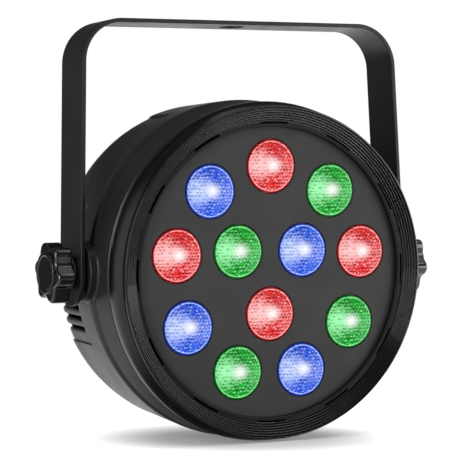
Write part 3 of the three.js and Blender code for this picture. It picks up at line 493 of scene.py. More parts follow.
def lens_finish(name, seed, deep, bright, pale_glow_tint):
    tree, shader = new_material(name)
    face = place_group(tree, bead_group, Seed=seed)
    across, up, reach = [
        reckon(tree, "DIVIDE", face[label], LENS_RADIUS * MM) for label in ("Across", "Up", "Reach")]

    def spot(x, z, wide, high):
        side, tall = [
            reckon(tree, "POWER", reckon(tree, "DIVIDE", reckon(tree, "SUBTRACT", way, middle), size), 2.0)
            for way, middle, size in ((across, x, wide), (up, z, high))]
        return ramp(tree, reckon(tree, "SQRT", reckon(tree, "ADD", side, tall)), 1.0, 0.0)

    hot = spot(0.04, 0.02, 0.56, 0.46)
    # Painted light: a pale glow to either side of the middle, and a thin pale ring of light just inside the rim.
    painted_side_glow = spot(-0.55, 0.06, 1.0, 0.95)
    painted_far_glow = reckon(tree, "MULTIPLY", spot(0.62, -0.1, 0.8, 0.85), 0.3)
    painted_rim_light = reckon(tree, "MULTIPLY", ramp(tree, reach, 0.895, 0.92), ramp(tree, reach, 0.955, 0.93))
    painted_glow_share = reckon(tree, "MAXIMUM", reckon(tree, "MAXIMUM", painted_side_glow, painted_far_glow),
                        reckon(tree, "MULTIPLY", painted_rim_light, 0.8))
    colour = blend(tree, ramp(tree, face["Cell"], 0.0, 1.0, 0.3, 1.0, "LINEAR"), (*deep, 1), (*bright, 1))
    colour = blend(tree, painted_glow_share, colour, (*pale_glow_tint, 1))
    # Each bead's glint is a painted highlight in the pale tint.
    colour = blend(tree, reckon(tree, "MULTIPLY", face["Glint"], 0.7), colour, (*pale_glow_tint, 1))
    cloudy = reckon(tree, "MULTIPLY", face["Mottle"], reckon(tree, "SUBTRACT", 0.75, painted_glow_share, clamp=True))
    # The beads' painted shade flecks, weaker inside the painted glow, and the random clouds darken the colour.
    dark_share = reckon(tree, "MULTIPLY", face["Painted_Fleck_Shade"], ramp(tree, painted_glow_share, 0.1, 0.9, 1.0, 0.45))
    dark_share = reckon(tree, "MAXIMUM", dark_share, cloudy)
    colour = blend(tree, dark_share, colour, (*deep, 1))
    colour = blend(tree, reckon(tree, "POWER", hot, 1.3), colour, (1, 1, 1, 1))
    # Painted shade: a dark edge round the rim of the lens.
    edge = ramp(tree, reach, 0.97, 0.945)
    colour = blend(tree, edge, tuple([0.25 * part for part in deep] + [1]), colour)
    mirrored = put(tree, "ShaderNodeLightPath").outputs["Is Glossy Ray"]
    colour = blend(tree, reckon(tree, "MULTIPLY", mirrored, 0.9), colour, (0, 0, 0, 1))
    # The pigment is darkened by the same painted shade flecks.
    pigment = blend(tree, face["Painted_Fleck_Shade"], (*deep, 1), (*[0.3 * part for part in deep], 1))
    feed(shader, {
        "Emission Color": colour, "Emission Strength": 0.95, "Base Color": pigment,
        "Roughness": ramp(tree, face["Cell"], 0.0, 1.0, 0.12, 0.24, "LINEAR"),
        "Specular IOR Level": 0.08, "Coat Weight": 0.03, "Coat Roughness": 0.06,
    })
    print("finish", name)


lens_finish("lens_red", 1.0, (0.24, 0.003, 0.004), (0.85, 0.03, 0.035), (1.0, 0.66, 0.66))
lens_finish("lens_green", 2.0, (0.0, 0.1, 0.004), (0.006, 0.5, 0.03), (0.42, 1.0, 0.52))
lens_finish("lens_blue", 3.0, (0.006, 0.03, 0.27), (0.04, 0.14, 0.8), (0.66, 0.78, 1.0))

# %% [markdown]
# ## Helpers for meshes
#
# Nearly every part of the lamp is either turned, like the ring and the shells, or cut
# from a plate, like the panel and the strap. A turned part is a grid of points, rows
# along its outline and columns round its axis. Its sharp corners are never really sharp,
# so the outline is rounded first, and the highlights that run along those small rounds
# are most of what makes the part look moulded.

# %% Rounded outlines
def rounded(points, steps=4, closed=True):
    """Rounds each (x, y, radius) corner of an outline and returns plain (x, y) points."""
    made = []
    count = len(points)
    for index, (x, y, radius) in enumerate(points):
        corner = Vector((x, y))
        before, after = Vector(points[index - 1][:2]), Vector(points[(index + 1) % count][:2])
        if radius <= 0 or (not closed and index in (0, count - 1)):
            made.append((x, y))
            continue
        one, two = (before - corner), (after - corner)
        room = 0.48 * min(one.length, two.length)
        one.normalize()
        two.normalize()
        half = one.angle(two) / 2
        if half > math.radians(89.5):
            made.append((x, y))
            continue
        run = min(radius / math.tan(half), room)
        radius = run * math.tan(half)
        middle = corner + (one + two).normalized() * (radius / math.sin(half))
        start, end = corner + one * run - middle, corner + two * run - middle
        sweep = start.angle_signed(end)
        for step in range(steps + 1):
            turned_by = Matrix.Rotation(-sweep * step / steps, 2)
            made.append(tuple(middle + turned_by @ start))
    return made


def circle(radius, count, x=0.0, z=0.0):
    turns = [math.tau * k / count for k in range(count)]
    return [(x + radius * math.cos(turn), z + radius * math.sin(turn)) for turn in turns]


def rectangle(width, height, corner, x=0.0, z=0.0, steps=6):
    half, tall = width / 2, height / 2
    corners = [(x + half, z - tall), (x + half, z + tall), (x - half, z + tall), (x - half, z - tall)]
    return rounded([(*spot, corner) for spot in corners], steps)


# %% Grids and plates
def finish_mesh(bm, name, sharp=38):
    bmesh.ops.remove_doubles(bm, verts=bm.verts, dist=0.002 * MM)
    bmesh.ops.recalc_face_normals(bm, faces=bm.faces)
    mesh = bpy.data.meshes.new(name)
    bm.to_mesh(mesh)
    bm.free()
    mesh.shade_smooth()
    mesh.set_sharp_from_angle(angle=math.radians(sharp))
    return mesh


def add_grid(bm, rows, wrap_rows=False, wrap_columns=True, open_cells=()):
    """Adds a grid of millimetre points, and returns its vertices row by row."""
    corners = [[bm.verts.new(Vector(spot) * MM) for spot in row] for row in rows]
    row_count, column_count = len(rows), len(rows[0])
    for i in range(row_count if wrap_rows else row_count - 1):
        for j in range(column_count if wrap_columns else column_count - 1):
            if (i, j) in open_cells:
                continue
            low, high = corners[i], corners[(i + 1) % row_count]
            near = (j + 1) % column_count
            bm.faces.new((low[j], low[near], high[near], high[j]))
    return corners


def bridge(bm, low, high):
    """A closed band of faces between two loops with the same number of vertices."""
    for a in range(len(low)):
        b = (a + 1) % len(low)
        bm.faces.new((low[a], low[b], high[b], high[a]))


def spun(outline, count):
    """Rows of a turned part from (radius, depth) points."""
    turns = [(math.cos(math.tau * k / count), math.sin(math.tau * k / count)) for k in range(count)]
    return [[(radius * across, depth, radius * up) for across, up in turns] for radius, depth in outline]


def turned(name, outline, count=128, closed=True):
    bm = bmesh.new()
    add_grid(bm, spun(outline, count), wrap_rows=closed)
    return finish_mesh(bm, name)


def plate(outlines, low, high, edge, place=None, steps=3):
    """Fills an outline with its holes, gives it thickness and rounds its edges.
    The outlines are given where the flat face ends, so they grow by the edge's radius."""
    curve = bpy.data.curves.new("blank", "CURVE")
    curve.dimensions = "2D"
    curve.fill_mode = "BOTH"
    curve.extrude = (high - low) / 2 - edge
    curve.bevel_depth = edge
    curve.bevel_resolution = steps - 1
    for outline in outlines:
        spline = curve.splines.new("POLY")
        spline.points.add(len(outline) - 1)
        spline.use_cyclic_u = True
        for point, (x, y) in zip(spline.points, outline):
            point.co = (x, y, 0, 1)
    blank = new_object("blank", curve)
    bpy.context.view_layer.update()
    mesh = bpy.data.meshes.new_from_object(blank.evaluated_get(bpy.context.evaluated_depsgraph_get()))
    bpy.data.objects.remove(blank)
    bpy.data.curves.remove(curve)
    middle = (low + high) / 2
    upright = Matrix.Translation((0, middle, 0)) @ Matrix.Rotation(math.pi / 2, 4, "X")
    mesh.transform(upright if place is None else place @ Matrix.Translation((0, 0, middle)))
    mesh.transform(Matrix.Scale(MM, 4))
    return mesh


def joined(name, meshes, sharp=38):
    bm = bmesh.new()
    for mesh in meshes:
        bm.from_mesh(mesh)
    return finish_mesh(bm, name, sharp)


# %% Pieces
def add_piece(name, mesh, body, slot, replaces=(), place=head, finish=None):
    """Adds a mesh, or a list of meshes as one, with its body, finish and replaced nodes. The slot names the finish
    when no finish is given.
    """
    if isinstance(mesh, list):
        mesh = joined(name, mesh)
    piece = new_object(name, mesh)
    piece.matrix_world = place
    mesh.materials.append(finishes[finish or slot])
    even = piece.modifiers.new("even shading", "WEIGHTED_NORMAL")
    even.keep_sharp = True
    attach(piece, body)
    if replaces:
        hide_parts(*replaces)
    print("piece", name, "has", len(mesh.polygons), "faces")
    return piece


# %% [markdown]
# ## The front panel
#
# A flat disc with twelve holes, moulded in matt plastic. A 2D curve fills an outline with
# holes by itself and rounds all of the edges in one go, which beats cutting twelve holes
# with booleans. The places of the holes are read from the lenses.

# %% Make the front panel
LENS_COUNT = 12
lens_boxes = [measured(f"lens_{number}") for number in range(1, LENS_COUNT + 1)]
lens_spots = [((low.x + high.x) / 2, (low.z + high.z) / 2) for low, high in lens_boxes]
panel_low, panel_high = measured("front_panel")
PANEL_EDGE = 0.3
LENS_HOLE = 14.1
outlines = [circle(panel_high.x - PANEL_EDGE, 240)]
outlines += [circle(LENS_HOLE + PANEL_EDGE, 72, x, z) for x, z in lens_spots]
panel = plate(outlines, panel_low.y, panel_high.y, PANEL_EDGE)
add_piece("panel", [panel], "head", "panel", ["front_panel"])

# %% [markdown]
# ## The lenses
#
# One lens is a shallow dome with a honeycomb of beads on it, a flange that the panel
# holds, and a cone that narrows to the diode. The dome is a fine grid whose points are
# lifted by the bead formula, so the beads are real and catch the light.

# %% Make the lenses
BEAD_HEIGHT = 0.22
DOME_HEIGHT = 1.6
EDGE_HEIGHT = 0.2
LENS_FLANGE = [(15.2, 2.8, 0), (15.2, 4.3, 0.2), (5, 21, 0.2), (3.2, 21, 0), (3.2, 19.1, 0), (0, 19.1, 0)]
LENS_TURNS, FACE_STEPS = 256, 50
BEAD_FADE = 0.4


def bead_lift(x, z):
    """Height of the nearer of the two lattices' beads."""
    reach = BEAD_PITCH
    for shift in (0, 1 / 2):
        parts = [(value / side + shift + 0.5) % 1 - 0.5 for value, side in zip((x, z), HONEYCOMB)]
        reach = min(reach, math.hypot(parts[0] * HONEYCOMB[0], parts[1] * HONEYCOMB[1]))
    return BEAD_HEIGHT * (1 - 3 * (reach / BEAD_PITCH) ** 2)


def lens_mesh(name):
    rows = []
    for k in range(FACE_STEPS + 1):
        radius = LENS_RADIUS * k / FACE_STEPS
        fade = min(1, (LENS_RADIUS - radius) / BEAD_FADE)
        dome = EDGE_HEIGHT + DOME_HEIGHT * (1 - (radius / LENS_RADIUS) ** 2)
        row = []
        for j in range(LENS_TURNS):
            turn = math.tau * j / LENS_TURNS
            x, z = radius * math.cos(turn), radius * math.sin(turn)
            row.append((x, -dome - (bead_lift(x, z) - BEAD_HEIGHT) * fade, z))
        rows.append(row)
    sides = rounded([(LENS_RADIUS, 0.3, 0), (LENS_RADIUS, 2.8, 0), *LENS_FLANGE], 2, closed=False)
    rows += spun(sides, LENS_TURNS)
    bm = bmesh.new()
    add_grid(bm, rows)
    return finish_mesh(bm, name, 50)


LENS_COLOURS = ["red", "green", "red", "green", "blue", "green", "blue", "red", "blue", "blue", "green", "red"]
first_lens = lens_mesh("lens")
for number, (colour, (x, z)) in enumerate(zip(LENS_COLOURS, lens_spots), start=1):
    place = head @ Matrix.Translation((x * MM, 0, z * MM))
    add_piece(f"lens_{number}_beaded", first_lens.copy(), "head", f"lens_{colour}", [f"lens_{number}"], place)

# %% [markdown]
# ## The bezel ring
#
# The ring is turned: a bulged side, a sharp rim, six ribs that step down towards the
# panel, and an inner lip. Twelve narrow slots lie between the ribs and the lip. They
# follow the columns of the grid: the cells of a slot are left open, and a pocket with
# upright walls closes them. The ribs, the grooves between them, the lip and the slots
# have finishes of their own, and each face of the ring carries the number of its finish.
# The grooves and the slot pockets are near black: painted shade in the ring's hollows.

# %% Make the bezel ring
RING_COLUMNS = 360
SLOT_COUNT, SLOT_COLUMNS, SLOT_DEPTH = 12, 12, 0.6
BEZEL, PAINTED_SLOT_SHADE, RIB, LIP, PAINTED_GROOVE_SHADE = range(5)
SIDE_STEPS = 15
CREST, RIB_FOOT = (84.1, 7.1), (76.9, 3.2)
RIBS, GROOVE = 6, 0.55
WAIST, BULGE, BULGE_HEIGHT, BEZEL_BACK = (82.6, 4.6), 87.0, -5.5, -11.8


def side_of_ring(height):
    share = (height - BULGE_HEIGHT) / (WAIST[1] - BULGE_HEIGHT)
    return BULGE - (BULGE - WAIST[0]) * share ** 2


def ring_outline():
    """(radius, height in front of the panel, rounding) from the back of the side to the lip."""
    points = [(80.3, BEZEL_BACK, 0.2), (side_of_ring(BEZEL_BACK), BEZEL_BACK, 0.5)]
    for k in range(1, SIDE_STEPS):
        height = BEZEL_BACK + (WAIST[1] - BEZEL_BACK) * k / SIDE_STEPS
        points.append((side_of_ring(height), height, 0))
    points += [(*WAIST, 0.9), (85.0, 5.3, 0.5), (85.0, 6.5, 0.3), (84.6, 7.0, 0.2)]
    for rib in range(RIBS):
        for step, drop, rounding in ((0, 0, 0.16), (0.2, 0.4 * GROOVE, 0), (0.5, GROOVE, 0.1)):
            radius, height = (one + (two - one) * (rib + step) / RIBS for one, two in zip(CREST, RIB_FOOT))
            points.append((radius, height - drop, rounding))
    return rounded(points + [(*RIB_FOOT, 0.1), (76.92, 3.0, 0)], 3, closed=False)


def in_groove(one, two):
    """Whether a step of the outline lies low on the inward side of a rib."""
    share = (CREST[0] - (one[0] + two[0]) / 2) / (CREST[0] - RIB_FOOT[0])
    drop = CREST[1] + (RIB_FOOT[1] - CREST[1]) * share - (one[1] + two[1]) / 2
    return 0 < share < 1 and drop > 0.15 * GROOVE and share * RIBS % 1 < 0.52


outline = ring_outline()
lip = rounded([
    (76.88, 3.0, 0), (75.82, 3.0, 0), (75.8, 3.3, 0.12), (75.0, 3.3, 0.12), (75.0, 3.0, 0.06), (74.2, 3.0, 0.3),
    (74.2, 0.3, 0), (80.3, 0.3, 0),
], 3, closed=False)
slot_row, pitch = len(outline), RING_COLUMNS // SLOT_COUNT
open_cells = {(slot_row, j) for j in range(RING_COLUMNS) if (j + SLOT_COLUMNS // 2) % pitch < SLOT_COLUMNS}
bm = bmesh.new()
rows = spun([(radius, -height) for radius, height in outline + lip], RING_COLUMNS)
corners = add_grid(bm, rows, wrap_rows=True, open_cells=open_cells)
bm.faces.ensure_lookup_table()
for face in bm.faces[len(outline) * RING_COLUMNS:]:
    face.material_index = LIP
for i, (one, two) in enumerate(zip(outline, outline[1:])):
    ribbed = one[0] < CREST[0] + 0.01 and one[1] > 0
    for face in bm.faces[i * RING_COLUMNS:(i + 1) * RING_COLUMNS]:
        # The low, inward sides of the ribs take painted shade; the rest keep the rib and bezel finishes.
        face.material_index = PAINTED_GROOVE_SHADE if in_groove(one, two) else RIB if ribbed else BEZEL
for slot in range(SLOT_COUNT):
    span = [(slot * pitch + k) % RING_COLUMNS for k in range(-SLOT_COLUMNS // 2, SLOT_COLUMNS // 2 + 1)]
    sides = [[corners[slot_row + side][j] for j in span] for side in (0, 1)]
    sunk = [[bm.verts.new((top.co.x, -SLOT_DEPTH * MM, top.co.z)) for top in side] for side in sides]
    loops = [sides[0], sunk[0], sunk[1], sides[1]]
    made = [bm.faces.new((a[k], a[k + 1], b[k + 1], b[k]))
            for a, b in zip(loops, loops[1:]) for k in range(len(span) - 1)]
    made += [bm.faces.new([line[end] for line in loops]) for end in (0, -1)]
    # The slot pockets are painted shade.
    for face in made:
        face.material_index = PAINTED_SLOT_SHADE
ring = add_piece("ribbed_ring", finish_mesh(bm, "ribbed_ring", 32), "head", "bezel", ["bezel_ring"])
for finish in ("slot", "rib", "lip", "painted_groove_shade"):
    ring.data.materials.append(finishes[finish])

# %% [markdown]
# ## The front shell
#
# A tapered band that bridges the ring and the rear shell. It is a plain turned part with
# a thin step at each end, and behind it a dark parting line shows where the two shells
# meet.

# %% Make the front shell
BAND = [(84.5, 12.1, 0.3), (85.3, 12.9, 0.5), (87.1, 26.1, 0.6), (86.3, 26.9, 0.3)]
BAND_INSIDE = [
    (85.0, 26.9, 0), (85.0, 32.9, 0.4), (82.6, 32.9, 0.4), (82.6, 24.2, 0), (69.0, 24.2, 0.3),
    (69.0, 21.7, 0.3), (77.6, 21.7, 0), (77.6, 2.8, 0), (80.0, 2.8, 0), (80.0, 12.1, 0),
]
front_shell = turned("tapered_band", rounded(BAND + BAND_INSIDE, 4), 256)
add_piece("tapered_band", front_shell, "head", "shell", ["front_shell"])

# %% [markdown]
# ## The rear shell
#
# The rear shell is a cup with a shallow recess on either side, and in each recess a
# ladder of vents whose bars are rounded like little pillows. Cutting slots into a turned
# mesh with booleans leaves long thin faces that shade badly. Instead the grid is laid out
# for the job: on the sides its columns run at constant height, right where the edges of
# the slots are, and the cells between them are left open. How far a point is pressed in
# comes from one formula for the recess and one for the pillows.

# %% Lay out the rear shell's rows
SHELL_MOUTH, SHELL_BACK, WALL_END, CORNER = 27.5, 95.0, 71.03, 23.97
MOUTH_RADIUS, SHELL_RADIUS, END_RADIUS = 86.6, 87.9, 85.5
SHOULDER = 31.1
WALL = 2.6
RECESS_FRONT, RECESS_DROP, RECESS_EDGE = 48.0, 0.9, 0.6
FAR = 999
VENT_FRONT, VENT_BACK = 53.0, 86.0
VENT_HALF, VENT_PITCH, VENT_COUNT = 1.1, 5.7, 12
PILLOW_RUN, PILLOW_DROP = 1.5, 0.85


def side_radius(depth):
    """Radius of the shell's side, with a soft shoulder behind its mouth."""
    rise = MOUTH_RADIUS + (SHELL_RADIUS - MOUTH_RADIUS) * (depth - SHELL_MOUTH) / (SHOULDER - SHELL_MOUTH)
    fall = SHELL_RADIUS - (SHELL_RADIUS - END_RADIUS) * (depth - SHOULDER) / (WALL_END - SHOULDER)
    soften = 0.12
    return (rise + fall - math.sqrt((rise - fall) ** 2 + soften)) / 2


back_turn = math.asin((VENT_BACK - WALL_END) / CORNER)
side_depths = [27.5, 27.62, 27.85, 28.3, 29, 29.8, 30.6, 31.4, 32.4, 34, 37, 40, 43, 45.5, 47.2]
side_depths += [47.5, 47.75, 48.0, 48.25, 48.5, 49.2, 50.5, 51.5, 52.05, 52.45, 52.75, 52.92, 53.0]
side_depths += [VENT_FRONT + (WALL_END - VENT_FRONT) * k / 7 for k in range(1, 8)]
arc_turns = [back_turn * k / 7 for k in range(1, 8)]
arc_turns += [back_turn + gap / CORNER for gap in (0.08, 0.25, 0.55, 0.95, 1.5)]
arc_turns += [arc_turns[-1] + (math.pi / 2 - arc_turns[-1]) * k / 10 for k in range(1, 11)]
shell_rows = [(side_radius(depth), depth) for depth in side_depths]
shell_rows += [
    (END_RADIUS - CORNER + CORNER * math.cos(turn), WALL_END + CORNER * math.sin(turn)) for turn in arc_turns]
open_rows = range(side_depths.index(VENT_FRONT), len(side_depths) + 7 - 1)
row_normals = []
for index, (radius, depth) in enumerate(shell_rows):
    ahead = shell_rows[min(index + 1, len(shell_rows) - 1)]
    behind = shell_rows[max(index - 1, 0)]
    along = Vector((ahead[0] - behind[0], ahead[1] - behind[1])).normalized()
    row_normals.append((along.y, -along.x))
row_normals[-1] = (0, 1)
print("rear shell has", len(shell_rows), "rows, vents in rows", open_rows.start, "to", open_rows.stop)

# %% Lay out its columns
VENT_RADIUS = shell_rows[open_rows.stop][0]
RECESS_LOW, CROWN_HALF = math.radians(206), 22
TOP_START, TOP_SPAN, TOP_STEPS, UNDER_STEPS = 24, 132, 66, 62
ZONE_TOP, ZONE_LOW = 35.6, -41.0
bar_steps = [0.0, 0.08, 0.25, 0.55, 0.95, 1.4]
zone_heights = {ZONE_TOP, ZONE_LOW, -38.0, -38.3, -38.6, -38.9, -39.2, -36.0}
vent_middles = [(k - (VENT_COUNT - 1) / 2) * VENT_PITCH for k in range(VENT_COUNT)]
for middle in vent_middles:
    for side in (-1, 1):
        zone_heights |= {round(middle + side * (VENT_HALF + gap), 4) for gap in bar_steps}
zone_heights |= {round(middle + VENT_PITCH / 2, 4) for middle in vent_middles[:-1]}
zone_heights = sorted(zone_heights)


def edge_share(value, low, high):
    """0 outside a range, 1 inside it, and a smooth step across each end."""
    share = 1.0
    for inward in (value - low, high - value):
        t = min(1, max(0, inward / RECESS_EDGE + 0.5))
        share *= t * t * (3 - 2 * t)
    return share


def zone_column(side, height):
    return ("zone", side, height, edge_share(height, SHELL_RADIUS * math.sin(RECESS_LOW), SHELL_RADIUS))


top_turns = [math.radians(TOP_START + (TOP_SPAN * k) / TOP_STEPS) for k in range(1, TOP_STEPS)]
recess_edges = [
    math.radians(90 + base + step) for base in (-CROWN_HALF, CROWN_HALF) for step in (-0.3, -0.15, 0.15, 0.3)]
top_turns = sorted(top_turns + recess_edges)
columns = [zone_column(1, height) for height in zone_heights]
for turn in top_turns:
    across = SHELL_RADIUS * (abs(turn - math.pi / 2) - math.radians(CROWN_HALF))
    share = (turn - math.radians(TOP_START)) / math.radians(TOP_SPAN)
    columns.append(("arc", 1, share, edge_share(across, 0, FAR)))
columns += [zone_column(-1, height) for height in reversed(zone_heights)]
columns += [("arc", -1, k / UNDER_STEPS, 0.0) for k in range(1, UNDER_STEPS)]


def column_turn(column, radius):
    kind, side, value, _ = column
    if kind == "zone":
        turn = math.asin(value / max(radius, VENT_RADIUS))
        return turn if side > 0 else math.pi - turn
    edge = math.asin((ZONE_TOP if side > 0 else ZONE_LOW) / max(radius, VENT_RADIUS))
    if side > 0:
        return edge + (math.pi - 2 * edge) * value
    return math.pi - edge + (math.pi + 2 * edge) * value


def pillow(depth_gap, height):
    """How far a bar's surface falls away near a vent."""
    near = min(abs(height - middle) for middle in vent_middles) - VENT_HALF
    gap = math.hypot(max(depth_gap, 0), max(near, 0))
    if gap >= PILLOW_RUN:
        return 0.0
    return PILLOW_DROP * (1 - math.sqrt(1 - (1 - gap / PILLOW_RUN) ** 2))


print("rear shell has", len(columns), "columns")

# %% Build the rear shell's two skins
def press_in(index, column):
    """How far the outer skin is pressed in at one grid point."""
    kind, side, value, recess = column
    depth = shell_rows[index][1]
    drop = RECESS_DROP * recess * edge_share(depth, RECESS_FRONT, FAR)
    if kind == "zone" and depth > 50:
        if depth < VENT_FRONT:
            gap = VENT_FRONT - depth
        elif index > open_rows.stop:
            gap = CORNER * (math.asin(min(1, (depth - WALL_END) / CORNER)) - back_turn)
        else:
            gap = 0
        drop += pillow(gap, value)
    return drop


def skin_point(index, column, inset):
    radius, depth = shell_rows[index]
    across, along = row_normals[index]
    turn = column_turn(column, radius)
    radius -= inset * across
    depth -= inset * along
    return (radius * math.cos(turn), depth, radius * math.sin(turn))


outer = [[skin_point(i, c, press_in(i, c)) for c in columns] for i in range(len(shell_rows))]
inner = [[skin_point(i, c, WALL) for c in columns] for i in range(len(shell_rows))]
vent_cells = set()
for j, column in enumerate(columns):
    following = columns[(j + 1) % len(columns)]
    if column[0] == following[0] == "zone" and column[1] == following[1]:
        middle = (column[2] + following[2]) / 2
        if min(abs(middle - spot) for spot in vent_middles) < VENT_HALF - 0.01:
            vent_cells |= {(i, j) for i in open_rows}
bm = bmesh.new()
outside = add_grid(bm, outer, open_cells=vent_cells)
inside = add_grid(bm, inner, open_cells=vent_cells)
for i, j in vent_cells:
    k = (j + 1) % len(columns)
    for beside, a, b in (
        ((i - 1, j), (i, j), (i, k)), ((i + 1, j), (i + 1, j), (i + 1, k)),
        ((i, j - 1), (i, j), (i + 1, j)), ((i, k), (i, k), (i + 1, k)),
    ):
        if beside not in vent_cells:
            bm.faces.new([skin[row][spot] for skin, (row, spot) in (
                (outside, a), (outside, b), (inside, b), (inside, a))])
bridge(bm, outside[0], inside[0])
print("vents opened:", len(vent_cells) // len(open_rows), "of", 2 * VENT_COUNT)

# %% [markdown]
# ### Its back and its bosses
#
# The flat back has a pocket for the control plate. Each loop of the pocket is an outline,
# and a fill between two closed loops makes a flat face with a hole. The pivot bosses
# stand on the sides: their walls are turned about the pivot, and the last rows are draped
# on the shell to give the small fillet that catches a line of light.

# %% Close the back round the control plate
plate_low, plate_high = measured("control_plate")
plate_middle = (plate_low.z + plate_high.z) / 2
plate_width, plate_height = plate_high.x - plate_low.x, plate_high.z - plate_low.z
PLATE_CORNER, PLATE_LEDGE, SEAT_GAP, SEAT_DEPTH = 8.0, 3.0, 0.3, 1.6


def loop(bm, grow, depth):
    width, height = plate_width + 2 * grow, plate_height + 2 * grow
    outline = rectangle(width, height, PLATE_CORNER + grow, 0, plate_middle, 8)
    return [bm.verts.new(Vector((x, depth, z)) * MM) for x, z in outline]


def edges_of(bm, loop_corners):
    pairs = zip(loop_corners, loop_corners[1:] + loop_corners[:1])
    return [bm.edges.get(pair) or bm.edges.new(pair) for pair in pairs]


pocket = [loop(bm, grow, SHELL_BACK - sunk) for grow, sunk in (
    (SEAT_GAP + 0.5, 0), (SEAT_GAP + 0.15, 0.1), (SEAT_GAP, 0.4),
    (SEAT_GAP, SEAT_DEPTH), (-PLATE_LEDGE, SEAT_DEPTH), (-PLATE_LEDGE, WALL),
)]
bmesh.ops.triangle_fill(bm, use_beauty=True, edges=edges_of(bm, outside[-1]) + edges_of(bm, pocket[0]))
bmesh.ops.triangle_fill(bm, use_beauty=True, edges=edges_of(bm, inside[-1]) + edges_of(bm, pocket[-1]))
for low, high in zip(pocket, pocket[1:]):
    bridge(bm, low, high)

# %% Add the pivot bosses
BOSS_RADIUS, BOSS_FACE, BOSS_INNER, BOSS_BORE = 15.0, 90.7, 77.0, 5.3
BOSS_FOOT, BOSS_COLUMNS = 16, 96
BAND_FRONT, BAND_RADIUS, BAND_RISE, BAND_RUN = 12.1, 85.3, 1.8, 14.8
FLARE = [(15.0, 1.2), (15.06, 0.75), (15.25, 0.4), (15.55, 0.15), (16.0, 0.0), (16.4, -0.25)]


def side_reach(depth, height):
    """Distance of the head's side from its middle plane, at the pivot."""
    if depth < SHELL_MOUTH:
        radius = BAND_RADIUS + BAND_RISE * (depth - BAND_FRONT) / BAND_RUN
    else:
        radius = side_radius(depth) - RECESS_DROP * edge_share(depth, RECESS_FRONT, FAR)
    return math.sqrt(radius ** 2 - height ** 2)


cup = rounded([
    (BOSS_BORE, BOSS_INNER, 0), (BOSS_BORE, BOSS_FACE, 0.3), (BOSS_RADIUS, BOSS_FACE, 0.8),
    (BOSS_RADIUS, SHELL_RADIUS, 0),
], 4, closed=False)
around = [math.tau * k / BOSS_COLUMNS for k in range(BOSS_COLUMNS)]
for side in (-1, 1):
    rows = []
    for radius, reach in cup[:-1]:
        rows.append([(side * reach, pivot_depth + radius * math.cos(t), radius * math.sin(t)) for t in around])
    for radius, lift in FLARE:
        row = []
        for t in around:
            depth, height = pivot_depth + radius * math.cos(t), radius * math.sin(t)
            row.append((side * (side_reach(depth, height) + lift), depth, height))
        rows.append(row)
    rows.append([
        (side * BOSS_INNER, pivot_depth + BOSS_FOOT * math.cos(t), BOSS_FOOT * math.sin(t)) for t in around])
    add_grid(bm, rows, wrap_rows=True)
add_piece("vented_shell", finish_mesh(bm, "vented_shell", 45), "head", "shell", ["rear_shell"])

# %% [markdown]
# ## The bracket
#
# The real bracket starts as a flat strip with round ends and three punched holes, and is
# then bent twice. It is made the same way here. The flat blank gets its rounded edges
# from the curve, a row of cuts across it where the bends will be, and then every
# point is carried round the bends.

# %% Punch and bend the bracket
STRAP_WIDTH, STRAP_THICKNESS, STRAP_EDGE = 26.3, 2.1, 0.35
BEND_RADIUS, SPLAY = 22.5, math.radians(1.86)
HANG_HOLE, STUD_HOLE = 6.5, 3.3
BEND_CUTS, ARM_CUTS = 28, 10
ARM_OUTER = 95.13
drop = -pivot.z / MM
half_width = ARM_OUTER - drop * math.tan(SPLAY)
straight = half_width - BEND_RADIUS * (1 - math.sin(SPLAY)) / math.cos(SPLAY)
neutral = BEND_RADIUS - STRAP_THICKNESS / 2
sweep = math.pi / 2 - SPLAY
bend_end = -BEND_RADIUS + BEND_RADIUS * math.sin(SPLAY)
arm_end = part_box("bracket")[0].z / MM
arm_length = (bend_end - arm_end) / math.cos(SPLAY)
blank_half = straight + neutral * sweep + arm_length
hole_at = straight + neutral * sweep + (drop + bend_end) / math.cos(SPLAY)

end_radius = STRAP_WIDTH / 2 - STRAP_EDGE
outline = [(blank_half - STRAP_WIDTH / 2 + end_radius * math.cos(t), end_radius * math.sin(t))
           for t in [math.pi * (k / 32 - 0.5) for k in range(33)]]
outline += [(-x, -y) for x, y in outline]
holes = [circle(HANG_HOLE + STRAP_EDGE, 64)]
holes += [circle(STUD_HOLE + STRAP_EDGE, 32, side * hole_at) for side in (-1, 1)]
blank = plate([outline] + holes, -STRAP_THICKNESS / 2, STRAP_THICKNESS / 2, STRAP_EDGE, Matrix.Identity(4))
bm = bmesh.new()
bm.from_mesh(blank)
bmesh.ops.remove_doubles(bm, verts=bm.verts, dist=0.002 * MM)
cuts = [straight + neutral * sweep * k / BEND_CUTS for k in range(BEND_CUTS + 1)] + [20, 40, 60, straight - 2]
cuts += [straight + neutral * sweep + arm_length * k / ARM_CUTS for k in range(1, 8)]
for cut in [side * cut for cut in cuts for side in (-1, 1)]:
    everything = bm.verts[:] + bm.edges[:] + bm.faces[:]
    bmesh.ops.bisect_plane(bm, geom=everything, dist=1e-7, plane_co=(cut * MM, 0, 0), plane_no=(1, 0, 0))


def bent(along, across, rise):
    """Where a point of the flat blank ends up, in millimetres."""
    side = 1 if along >= 0 else -1
    along = abs(along)
    if along <= straight:
        return (side * along, across, rise - STRAP_THICKNESS / 2)
    turn = min((along - straight) / neutral, sweep)
    rest = max(0, along - straight - neutral * sweep)
    reach = neutral + rise
    x = straight + reach * math.sin(turn) + rest * math.cos(turn)
    z = -BEND_RADIUS + reach * math.cos(turn) - rest * math.sin(turn)
    return (side * x, across, z)


for corner in bm.verts:
    along, across, rise = corner.co / MM
    corner.co = Vector(bent(along, across, rise)) * MM
add_piece("bent_strap", finish_mesh(bm, "bent_strap", 30), "bracket", "strap", ["bracket"], Matrix.Identity(4))

